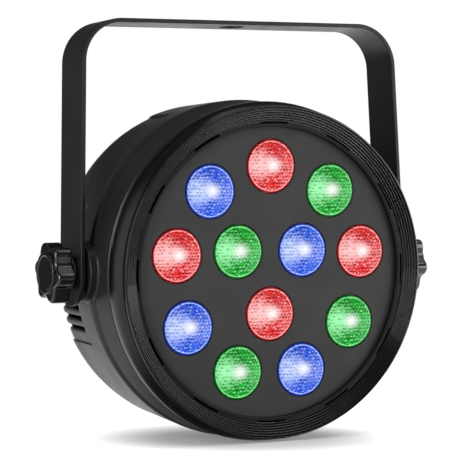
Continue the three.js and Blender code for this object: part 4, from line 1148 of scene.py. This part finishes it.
# %% [markdown]
# ## The star knobs and what they clamp
#
# A star knob is a round core with six soft lobes and a low cap. The lobes are a wave
# round its edge, so the outline is one formula, and the rows of the grid shrink that
# outline to round the rim. Behind each knob sits a steel washer, and between the arm and
# the boss a rubber pad.

# %% Make the knobs
KNOB_LOBES, KNOB_RADIUS, KNOB_NOTCH = 6, 15.9, 12.2
KNOB_HUB, KNOB_HUB_LENGTH, KNOB_RIM_LENGTH, KNOB_CAP, CAP_HEIGHT = 9.0, 1.6, 9.6, 10.6, 1.1
KNOB_TURN = math.radians(9)
KNOB_COLUMNS = 240
KNOB_BORE_END, RIM_BACK, RIM_FRONT = 8.9, 1.2, 1.6
CAP_RING, CAP_SLOPE, CAP_DISH = 1.6, 2.2, 0.35


def lobe_radius(turn):
    return KNOB_NOTCH + (KNOB_RADIUS - KNOB_NOTCH) * (1 + math.cos(KNOB_LOBES * turn)) / 2


def knob_mesh(name):
    face = KNOB_HUB_LENGTH + KNOB_RIM_LENGTH
    hub = rounded([(STUD_HOLE, 0, 0), (KNOB_HUB, 0, 0.3), (KNOB_HUB, KNOB_HUB_LENGTH, 0)], 3, closed=False)
    rows = spun([(STUD_HOLE, KNOB_BORE_END)] + hub, KNOB_COLUMNS)
    rim = [(RIM_BACK - RIM_BACK * math.cos(t), KNOB_HUB_LENGTH + RIM_BACK - RIM_BACK * math.sin(t))
           for t in (1.57, 1.2, 0.8, 0.4, 0)]
    rim += [(RIM_FRONT - RIM_FRONT * math.cos(t), face - RIM_FRONT + RIM_FRONT * math.sin(t))
            for t in (0, 0.3, 0.6, 0.9, 1.2, 1.57)]
    for inset, reach in rim:
        row = []
        for k in range(KNOB_COLUMNS):
            turn = math.tau * k / KNOB_COLUMNS
            radius = lobe_radius(turn) - inset
            row.append((radius * math.cos(turn), reach, radius * math.sin(turn)))
        rows.append(row)
    top = face + CAP_HEIGHT
    cap = rounded([
        (KNOB_CAP + 0.1, face - 0.2, 0.1), (KNOB_CAP, top, 0.45), (KNOB_CAP - CAP_RING, top, 0.2),
        (KNOB_CAP - CAP_SLOPE, top - CAP_DISH, 0.3), (0, top - CAP_DISH, 0),
    ], 4, closed=False)
    rows += spun(cap, KNOB_COLUMNS)
    bm = bmesh.new()
    add_grid(bm, rows)
    return finish_mesh(bm, name, 40)


def at_pivot(side, distance, turn=0.0):
    """The place of a part that is turned about its own +Y, out along the pivot."""
    spot = Vector((side * distance, pivot_depth, 0)) * MM
    outward = Matrix.Rotation(-side * math.pi / 2, 4, "Z")
    return head @ Matrix.Translation(spot) @ outward @ Matrix.Rotation(turn, 4, "Y")


def disc_with_bore(name, radius, thickness, inner, outer):
    """A turned ring round the stud, with the rounding of its inner and outer corners."""
    low_edge, top_edge = outer
    outline = [
        (STUD_HOLE, 0, inner), (radius, 0, low_edge), (radius, thickness, top_edge), (STUD_HOLE, thickness, inner)]
    return turned(name, rounded(outline, 3), 96)


KNOB_BASE, WASHER_BASE, PAD_BASE = 97.20, 95.70, 91.0
for name, side in (("left", -1), ("right", 1)):
    add_piece(f"{name}_star_knob", knob_mesh("star_knob"), f"{name}_knob", "knob", [f"{name}_knob"],
              at_pivot(side, KNOB_BASE, side * KNOB_TURN))
    add_piece(f"{name}_flat_washer", disc_with_bore("flat_washer", 8.5, 1.2, 0.1, (0.15, 0.35)),
              f"{name}_washer", "steel", [f"{name}_washer"], at_pivot(side, WASHER_BASE))
    add_piece(f"{name}_rubber_pad", disc_with_bore("rubber_pad", 10, 1.4, 0.1, (0.3, 0.3)),
              "head", "rubber", [f"{name}_pad"], at_pivot(side, PAD_BASE))

# %% [markdown]
# ## The control plate
#
# The back of the lamp has one plate with a row of controls over a row of sockets. The
# plate is cut like the panel, with holes for everything that comes through it, and
# screws hold it and what is on it.

# %% Make the control plate and its window
window_low, window_high = measured("display_window")
PLATE_EDGE = 0.25
ROW_Z = -20.5
SOCKET_HOLE, POWER_HOLE, BUTTON_HOLE, WINDOW_HOLE = 12.1, 1.7, 3.5, (34.6, 14.6)
PANE_SIZE, PANE_INSIDE = (33.4, 13.4), 78.7
POWER_HALF_WIDE, POWER_HALF_TALL, POWER_CUT, POWER_ROUND = 12.2, 8.3, 4.4, 0.8


def power_outline(grow):
    """The inlet's outline, with its two lower corners cut."""
    wide, tall, cut, x = POWER_HALF_WIDE + grow, POWER_HALF_TALL + grow, POWER_CUT, socket_x["power"]
    return rounded([(x + across, ROW_Z + up, POWER_ROUND) for across, up in (
        (wide, tall), (-wide, tall), (-wide, cut - tall), (cut - wide, -tall), (wide - cut, -tall),
        (wide, cut - tall))], 3)


socket_boxes = {name: measured(f"{name}_socket") for name in ("data_in", "data_out", "power")}
socket_x = {name: (low.x + high.x) / 2 for name, (low, high) in socket_boxes.items()}
button_boxes = [measured(f"menu_button_{number}") for number in range(1, 5)]
button_spots = [((low.x + high.x) / 2, (low.z + high.z) / 2) for low, high in button_boxes]
window_x, window_z = (window_low.x + window_high.x) / 2, (window_low.z + window_high.z) / 2
width, height = plate_width - 2 * PLATE_EDGE, plate_height - 2 * PLATE_EDGE
outlines = [rectangle(width, height, PLATE_CORNER - PLATE_EDGE, 0, plate_middle, 8)]
outlines += [circle(SOCKET_HOLE + PLATE_EDGE, 64, socket_x[name], ROW_Z) for name in ("data_in", "data_out")]
width, height = [size + 2 * PLATE_EDGE for size in WINDOW_HOLE]
outlines += [power_outline(POWER_HOLE + PLATE_EDGE), rectangle(width, height, 0.9, window_x, window_z)]
outlines += [circle(BUTTON_HOLE + PLATE_EDGE, 40, x, z) for x, z in button_spots]
control = plate(outlines, SHELL_BACK - SEAT_DEPTH + SEAT_GAP, SHELL_BACK, PLATE_EDGE)
add_piece("back_plate", [control], "head", "strap", ["control_plate"])
pane = plate([rectangle(*PANE_SIZE, 0.3, window_x, window_z)], PANE_INSIDE, window_high.y, 0.3)
add_piece("window_pane", [pane], "head", "window", ["display_window"])

# %% [markdown]
# ### The lit digits
#
# Behind the dark red window, a seven-segment display shows the lamp's setting. Each
# segment is a small bar with pointed ends, and a table says which of them a digit uses.

# %% Light the display
tree, shader = new_material("lit_segment")
glow_noise = place_group(tree, grain_group, Scale=900.0, Mottle_Scale=400.0)["Mottle"]
feed(shader, {
    "Emission Color": blend(tree, glow_noise, (0.8, 0.02, 0.005, 1), (1.0, 0.09, 0.03, 1)),
    "Emission Strength": 1.6,
    "Base Color": blend(tree, glow_noise, (0.2, 0.004, 0.002, 1), (0.3, 0.01, 0.005, 1)),
})
SEGMENTS = {"0": "abcdef", "1": "bc"}
SEGMENT_PLACES = {
    "a": (0, 1, 0), "b": (0.5, 0.5, 1), "c": (0.5, -0.5, 1), "d": (0, -1, 0), "e": (-0.5, -0.5, 1),
    "f": (-0.5, 0.5, 1),
}
DIGIT_WIDE, DIGIT_TALL, DIGIT_PITCH = 4.4, 4.0, 8.2
BAR_REACH, BAR_THICK = 1.7, 0.42


def segment(x, z, upright):
    end = BAR_REACH - BAR_THICK
    bar = [
        (BAR_REACH, 0), (end, BAR_THICK), (-end, BAR_THICK), (-BAR_REACH, 0), (-end, -BAR_THICK), (end, -BAR_THICK)]
    return [(x + q, z + p) if upright else (x + p, z + q) for p, q in bar]


bars = []
for place_number, digit in enumerate("001"):
    middle = window_x + (1 - place_number) * DIGIT_PITCH
    for key in SEGMENTS[digit]:
        dx, dz, upright = SEGMENT_PLACES[key]
        outline = segment(middle - dx * DIGIT_WIDE, window_z + dz * DIGIT_TALL, upright)
        bars.append(plate([outline], window_high.y - 0.04, window_high.y + 0.02, 0.01, steps=1))
add_piece("lit_digits", bars, "head", "window", finish="lit_segment")

# %% Make the menu buttons
BUTTON_RADIUS, COLLAR_RADIUS, COLLAR = 3.2, 4.2, (91.9, 93.4)
for number, (low, high) in enumerate(button_boxes, start=1):
    x, z = button_spots[number - 1]
    outline = rounded([
        (0, low.y, 0), (BUTTON_RADIUS, low.y, 0.2), (BUTTON_RADIUS, COLLAR[0], 0), (COLLAR_RADIUS, COLLAR[0], 0.2),
        (COLLAR_RADIUS, COLLAR[1], 0.2), (BUTTON_RADIUS, COLLAR[1], 0), (BUTTON_RADIUS, high.y - 0.25, 0.7),
        (BUTTON_RADIUS / 2, high.y, 0.9), (0, high.y, 0),
    ], 4, closed=False)
    add_piece(f"round_button_{number}", turned("round_button", outline, 48, closed=False),
              f"menu_button_{number}", "button", [f"menu_button_{number}"],
              head @ Matrix.Translation((x * MM, 0, z * MM)))

# %% [markdown]
# ### The sockets
#
# The data sockets are round, one with pins and one with holes and a latch to hold the
# plug. The power inlet has two of its corners cut, so that its plug goes in one way only,
# and three blades. Each socket is a flange with a tube behind it.

# %% Make the sockets
SOCKET_FACE = socket_boxes["power"][1].y
FLANGE_BACK = SHELL_BACK + SEAT_GAP
FLANGE_EDGE = 0.35
TUBE_RADIUS, TUBE_FLOOR, TUBE_END, INLET_FLOOR = 11.8, 75, 96.2, 73
PLUG_BORE, JACK_BORE, NOTCH_HALF, NOTCH_TOP = 9.5, 8.4, 3.3, 10.9


def flange(name, mouth):
    low, high = socket_boxes[name]
    wide, tall = high.x - low.x - 2 * FLANGE_EDGE, high.z - low.z - 2 * FLANGE_EDGE
    outline = rectangle(wide, tall, 3 - FLANGE_EDGE, socket_x[name], ROW_Z)
    return plate([outline, mouth], FLANGE_BACK, SOCKET_FACE, FLANGE_EDGE)


def moved(mesh, x, z):
    mesh.transform(Matrix.Translation((x * MM, 0, z * MM)))
    return mesh


def tube(name, bore):
    outline = rounded([
        (bore, TUBE_FLOOR, 0), (TUBE_RADIUS, TUBE_FLOOR, 0.3), (TUBE_RADIUS, TUBE_END, 0), (bore, TUBE_END, 0)], 3)
    return moved(turned(name, outline, 96), socket_x[name], ROW_Z)


def notched_mouth(bore, half, top):
    """A round mouth with a square notch at its top for the latch."""
    spots = []
    for k in range(96):
        turn = math.tau * k / 96
        x, z = bore * math.cos(turn), bore * math.sin(turn)
        if z > 0 and abs(x) < half:
            continue
        spots.append((turn, x, z))
    side = math.sqrt(bore ** 2 - half ** 2)
    turn_right, turn_left = math.atan2(side, half), math.atan2(side, -half)
    spots += [(turn_right, half, side), (turn_right + 1e-4, half, top)]
    spots += [(turn_left - 1e-4, -half, top), (turn_left, -half, side)]
    return [(x + socket_x["data_out"], z + ROW_Z) for _, x, z in sorted(spots)]


mouth = circle(PLUG_BORE + FLANGE_EDGE, 72, socket_x["data_in"], ROW_Z)
parts = [flange("data_in", mouth), tube("data_in", PLUG_BORE)]
add_piece("data_in_shell", parts, "head", "socket", ["data_in_socket"])
mouth = notched_mouth(*[size + FLANGE_EDGE for size in (JACK_BORE, NOTCH_HALF, NOTCH_TOP)])
parts = [flange("data_out", mouth), tube("data_out", JACK_BORE)]
add_piece("data_out_shell", parts, "head", "socket", ["data_out_socket"])
wall = plate([power_outline(1.4), power_outline(0.0)], INLET_FLOOR, TUBE_END, 0.01, steps=1)
parts = [flange("power", power_outline(FLANGE_EDGE)), wall]
add_piece("power_shell", parts, "head", "socket", ["power_socket"])

# %% Make the pins, the holed core, the latch and the blades
CONTACT_CIRCLE, PIN_RADIUS, PIN_HOLE, PIN_SUNK = 4.8, 1.2, 1.5, 4
DISC_RADIUS, DISC_END = 9.2, 79
CORE_RADIUS, CORE_LENGTH, CORE_EDGE, FOOT_RADIUS, FOOT_END = 6.7, 12, 0.3, 8.1, 85.5
BLADE_WIDE, BLADE_TALL, BLADE_EDGE, BLADE_SUNK = 2, 4, 0.25, 4.2
contact_turns = [math.radians((k - 1) * 135) - math.pi / 2 for k in range(3)]
contacts = [(CONTACT_CIRCLE * math.cos(t), CONTACT_CIRCLE * math.sin(t)) for t in contact_turns]
pin_foot, pin_tip = TUBE_FLOOR + 2, SOCKET_FACE - PIN_SUNK
pin = rounded([
    (0, pin_foot, 0), (PIN_RADIUS, pin_foot, 0), (PIN_RADIUS, pin_tip, 0.9), (0, pin_tip, 0)], 4, closed=False)
pins = [moved(turned("pin", pin, 24, closed=False), socket_x["data_in"] + x, ROW_Z + z) for x, z in contacts]
add_piece("data_in_pins", pins, "head", "steel", ["data_in_contacts"])
disc = rounded([
    (0, TUBE_FLOOR, 0), (DISC_RADIUS, TUBE_FLOOR, 0.2), (DISC_RADIUS, DISC_END, 0.5), (0, DISC_END, 0),
], 3, closed=False)
disc = moved(turned("disc", disc, 72, closed=False), socket_x["data_in"], ROW_Z)
add_piece("data_in_disc", [disc], "head", "socket")
outlines = [circle(CORE_RADIUS - CORE_EDGE, 72, socket_x["data_out"], ROW_Z)]
outlines += [circle(PIN_HOLE + CORE_EDGE, 32, socket_x["data_out"] + x, ROW_Z + z) for x, z in contacts]
core = plate(outlines, SOCKET_FACE - CORE_LENGTH, SOCKET_FACE, CORE_EDGE)
foot = rounded([
    (0, TUBE_FLOOR, 0), (FOOT_RADIUS, TUBE_FLOOR, 0.2), (FOOT_RADIUS, DISC_END, 0.4), (CORE_RADIUS, DISC_END, 0),
    (CORE_RADIUS, FOOT_END, 0), (0, FOOT_END, 0),
], 3, closed=False)
foot = moved(turned("foot", foot, 72, closed=False), socket_x["data_out"], ROW_Z)
add_piece("data_out_plug_core", [core, foot], "head", "socket", ["data_out_core"])
latch_low, latch_high = measured("data_out_latch")
latch = plate([rectangle(5.4, 1.6, 0.3, socket_x["data_out"], (latch_low.z + latch_high.z) / 2)],
              latch_low.y, latch_high.y, 0.3)
add_piece("latch_tab", [latch], "data_out_latch", "steel", ["data_out_latch"])
blades = []
for x, z in ((-7, -2), (0, 2), (7, -2)):
    width, height = BLADE_WIDE - 2 * BLADE_EDGE, BLADE_TALL - 2 * BLADE_EDGE
    outline = rectangle(width, height, 0.1, socket_x["power"] + x, ROW_Z + z)
    blades.append(plate([outline], TUBE_FLOOR, SOCKET_FACE - BLADE_SUNK, BLADE_EDGE))
add_piece("power_prongs", blades, "head", "steel", ["power_blades"])
floor_plate = plate([power_outline(-0.5)], INLET_FLOOR, INLET_FLOOR + 4, 0.2)
add_piece("power_floor", [floor_plate], "head", "socket")

# %% [markdown]
# ## The safety eye and the screws
#
# A safety wire is hooked to the eye, a bent strip with two screwed feet. The screws have
# low round heads with a cross recess, which is sunk into the head's grid by a formula.

# %% Make the safety eye
eye_low, eye_high = measured("safety_eye")
eye_z = (eye_low.z + eye_high.z) / 2
rise = eye_high.y - eye_low.y
half = (eye_high.x - eye_low.x) / 2
THIN, WEB, BEND = 1.5, 8.0, 1.6
strip = rounded([
    (half, 0, 0.4), (half, THIN, 0.4), (WEB + THIN, THIN, BEND), (WEB + THIN, rise, BEND + 0.8),
    (-WEB - THIN, rise, BEND + 0.8), (-WEB - THIN, THIN, BEND), (-half, THIN, 0.4), (-half, 0, 0.4),
    (-WEB, 0, BEND + 0.8), (-WEB, rise - THIN, BEND), (WEB, rise - THIN, BEND), (WEB, 0, BEND + 0.8),
], 6)
EYE_EDGE = 0.2
eye_place = Matrix.Translation((0, eye_low.y, eye_z))
eye = plate([strip], -(eye_high.z - eye_low.z) / 2, (eye_high.z - eye_low.z) / 2, EYE_EDGE, eye_place)
add_piece("wire_eye", [eye], "head", "steel", ["safety_eye"])

# %% Make the screws
SCREW_RADIUS, SCREW_HEIGHT = 2.5, 1.5
CROSS_HALF, CROSS_REACH, CROSS_DEPTH = 0.38, 1.35, 0.9
PLATE_INSET, FOOT_INSET, FLANGE_SCREW = 5, 4.2, (9.6, 12.0)


def screw(x, z, base, turn):
    rows = []
    reaches = [SCREW_RADIUS * k / 20 for k in range(21)]
    for reach in reaches:
        row = []
        for k in range(64):
            t = math.tau * k / 64
            u, v = reach * math.cos(t - turn), reach * math.sin(t - turn)
            height = SCREW_HEIGHT * math.sqrt(max(0, 1 - (reach / SCREW_RADIUS) ** 3))
            in_cross = min(abs(u), abs(v)) < CROSS_HALF and max(abs(u), abs(v)) < CROSS_REACH
            row.append((reach * math.cos(t), height - (CROSS_DEPTH if in_cross else 0), reach * math.sin(t)))
        rows.append(row)
    bm = bmesh.new()
    add_grid(bm, rows)
    mesh = finish_mesh(bm, "screw", 35)
    mesh.transform(Matrix.Translation((x * MM, base * MM, z * MM)))
    return mesh


width, height = plate_width / 2 - PLATE_INSET, plate_height / 2 - PLATE_INSET
screw_spots = [(side * width, plate_middle + up * height, SHELL_BACK) for side in (-1, 1) for up in (-1, 1)]
across, up = FLANGE_SCREW
for name in ("data_in", "data_out"):
    screw_spots += [(socket_x[name] + side * across, ROW_Z + side * up, SOCKET_FACE) for side in (-1, 1)]
screw_spots += [(side * (half - FOOT_INSET), eye_z, eye_low.y + THIN) for side in (-1, 1)]
screws = [screw(x, z, base, 0.4 + 1.7 * index) for index, (x, z, base) in enumerate(screw_spots)]
add_piece("cross_screws", joined("cross_screws", screws, 35), "head", "steel")

# %% [markdown]
# ## The parts that keep their solids
#
# The parts inside the head are right as they are and are hardly seen. They keep their
# shapes and get the finishes that were made for them.

# %% Finish the carried-over parts
inside_finishes = {
    "light_board": "board", "heat_sink": "aluminium", "power_board": "circuit", "control_board": "circuit",
}
inside_finishes |= {f"diode_{number}": "diode" for number in range(1, LENS_COUNT + 1)}
for name in ("left", "right"):
    inside_finishes |= {f"{name}_insert": "brass", f"{name}_stud": "steel"}
for node, finish in inside_finishes.items():
    nodes[node].data.materials.clear()
    nodes[node].data.materials.append(finishes[finish])
print("finished", len(inside_finishes), "carried-over parts")

# %% [markdown]
# ## The studio
#
# The lamp stands on a grey table that is lifted to white for the camera, but less so in an
# oval patch round the lamp: a painted shadow there, with the lamps' real shadow falling on
# top. In gloss the table is bright at the sides and behind, and dark in front. The room is
# plain white to the camera. To gloss it is dark grey, with a low white backdrop behind the
# lamp and a soft glow on the left, so dark plastic looks dark. Six area lamps, from a wide
# box to a thin strip, draw the highlights.

# %% Lay the floor
FLOOR_RADIUS = 0.55
BAND_AND_RING = [(87.1, 26.0), (87.0, 5.5), (85.0, -6.0)]
floor_z = min(
    (head @ (Vector((radius * math.cos(t), depth, radius * math.sin(t))) * MM)).z
    for radius, depth in shell_rows[:12] + BAND_AND_RING
    for t in [math.tau * k / 360 for k in range(181, 360)])
bm = bmesh.new()
edge = [bm.verts.new((FLOOR_RADIUS * x, FLOOR_RADIUS * y, floor_z - 0.0002)) for x, y in circle(1, 96)]
bm.faces.new(edge)
floor_mesh = bpy.data.meshes.new("table")
bm.to_mesh(floor_mesh)
bm.free()
floor = new_object("table", floor_mesh)
floor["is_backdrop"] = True
tree, shader = new_material("table")
floor_mesh.materials.append(finishes["table"])
rays = put(tree, "ShaderNodeLightPath").outputs
where = own_place(tree)
away = arrow(tree, "LENGTH", arrow(tree, "MULTIPLY", where, (1.5, 1.0, 0.0)), out="Value")
axes = put(tree, "ShaderNodeSeparateXYZ", {0: where}).outputs
# The lift is lower in an oval round the lamp: a painted shadow.
seen_plain = reckon(tree, "MULTIPLY", rays["Is Camera Ray"], ramp(tree, away, 0.05, 0.14, 0.2, 1.0))
mirrored = reckon(tree, "MAXIMUM", rays["Is Glossy Ray"], rays["Is Transmission Ray"])
right_side, left_side = ramp(tree, axes["X"], -0.04, 0.12, 0.0, 0.9), ramp(tree, axes["X"], -0.07, -0.17, 0.0, 0.7)
bright_sides = reckon(tree, "MAXIMUM", right_side, left_side)
bright_sides = reckon(tree, "MAXIMUM", bright_sides, ramp(tree, axes["Y"], -0.01, 0.08, 0.0, 0.8))
seen_in_gloss = reckon(tree, "MULTIPLY", mirrored, bright_sides)
feed(shader, {
    "Roughness": 0.9, "Specular IOR Level": 0.0, "Emission Color": (1, 1, 1, 1),
    "Base Color": blend(tree, mirrored, (0.55, 0.55, 0.55, 1), (0.12, 0.12, 0.12, 1)),
    "Emission Strength": reckon(tree, "ADD", seen_plain, seen_in_gloss),
})
print("floor at", round(floor_z, 4))

# %% Light the room
world = bpy.data.worlds.new("room")
bpy.context.scene.world = world
world.use_nodes = True
tree = world.node_tree
tree.nodes.clear()
rays = put(tree, "ShaderNodeLightPath").outputs
way = put(tree, "ShaderNodeTexCoord").outputs["Generated"]
height = put(tree, "ShaderNodeSeparateXYZ", {0: way}).outputs["Z"]
ROOM_LIGHT, ROOM_DARK = 0.55, 0.06
view = (math.sin(-CAMERA_TURN), math.cos(CAMERA_TURN), 0.0)
facing = arrow(tree, "DOT_PRODUCT", way, view, out="Value")
backdrop = reckon(tree, "MULTIPLY", ramp(tree, facing, 0.72, 0.88), ramp(tree, height, 0.32, 0.12))
leftward = arrow(tree, "DOT_PRODUCT", way, (-1.0, -0.05, 0.0), out="Value")
backdrop = reckon(tree, "MAXIMUM", backdrop, ramp(tree, leftward, 0.6, 1.0, 0.0, 0.9))
mirrored = ramp(tree, backdrop, 0.0, 1.0, ROOM_DARK, 1.0, "LINEAR")
seen_in_gloss, seen_plain, soft_light = [
    put(tree, "ShaderNodeBackground", {"Color": (1, 1, 1, 1), "Strength": strength}).outputs[0]
    for strength in (mirrored, 1.0, ROOM_LIGHT)]
gloss = reckon(tree, "MAXIMUM", rays["Is Glossy Ray"], rays["Is Transmission Ray"])
shade = put(tree, "ShaderNodeMixShader", {0: gloss, 1: soft_light, 2: seen_in_gloss}).outputs[0]
shade = put(tree, "ShaderNodeMixShader", {0: rays["Is Camera Ray"], 1: shade, 2: seen_plain}).outputs[0]
put(tree, "ShaderNodeOutputWorld", {"Surface": shade})


def soft_box(name, turn, rise, reach, width, height, power):
    """An area lamp that looks at the head from a direction given in degrees."""
    data = bpy.data.lights.new(name, "AREA")
    data.shape = "RECTANGLE"
    data.size, data.size_y, data.energy = width, height, power
    lamp = new_object(name, data)
    t, r = math.radians(turn), math.radians(rise)
    away = Vector((math.sin(t) * math.cos(r), -math.cos(t) * math.cos(r), math.sin(r)))
    lamp.location = pivot + away * reach
    lamp.rotation_euler = away.to_track_quat("Z", "Y").to_euler()
    print("lamp", name, "at", [round(v, 2) for v in lamp.location])


soft_box("key_box", 57, 7, 1.5, 1.25, 0.8, 11)
soft_box("front_strip", 28, -3, 1.5, 0.2, 0.7, 2.6)
soft_box("high_box", 30, 38, 1.6, 0.9, 0.6, 0.4)
soft_box("knob_strip", 45, 48, 1.5, 0.5, 0.08, 1.0)
soft_box("left_strip", -60, 13, 1.5, 0.2, 1.0, 13)
soft_box("top_box", 60, 72, 1.6, 1.4, 1.4, 4)

# %% Print the sizes and finish
low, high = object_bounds()
for label, size in (("cad", cad_high - cad_low), ("visual", high - low)):
    print(label, "box", [round(v / MM, 1) for v in size])
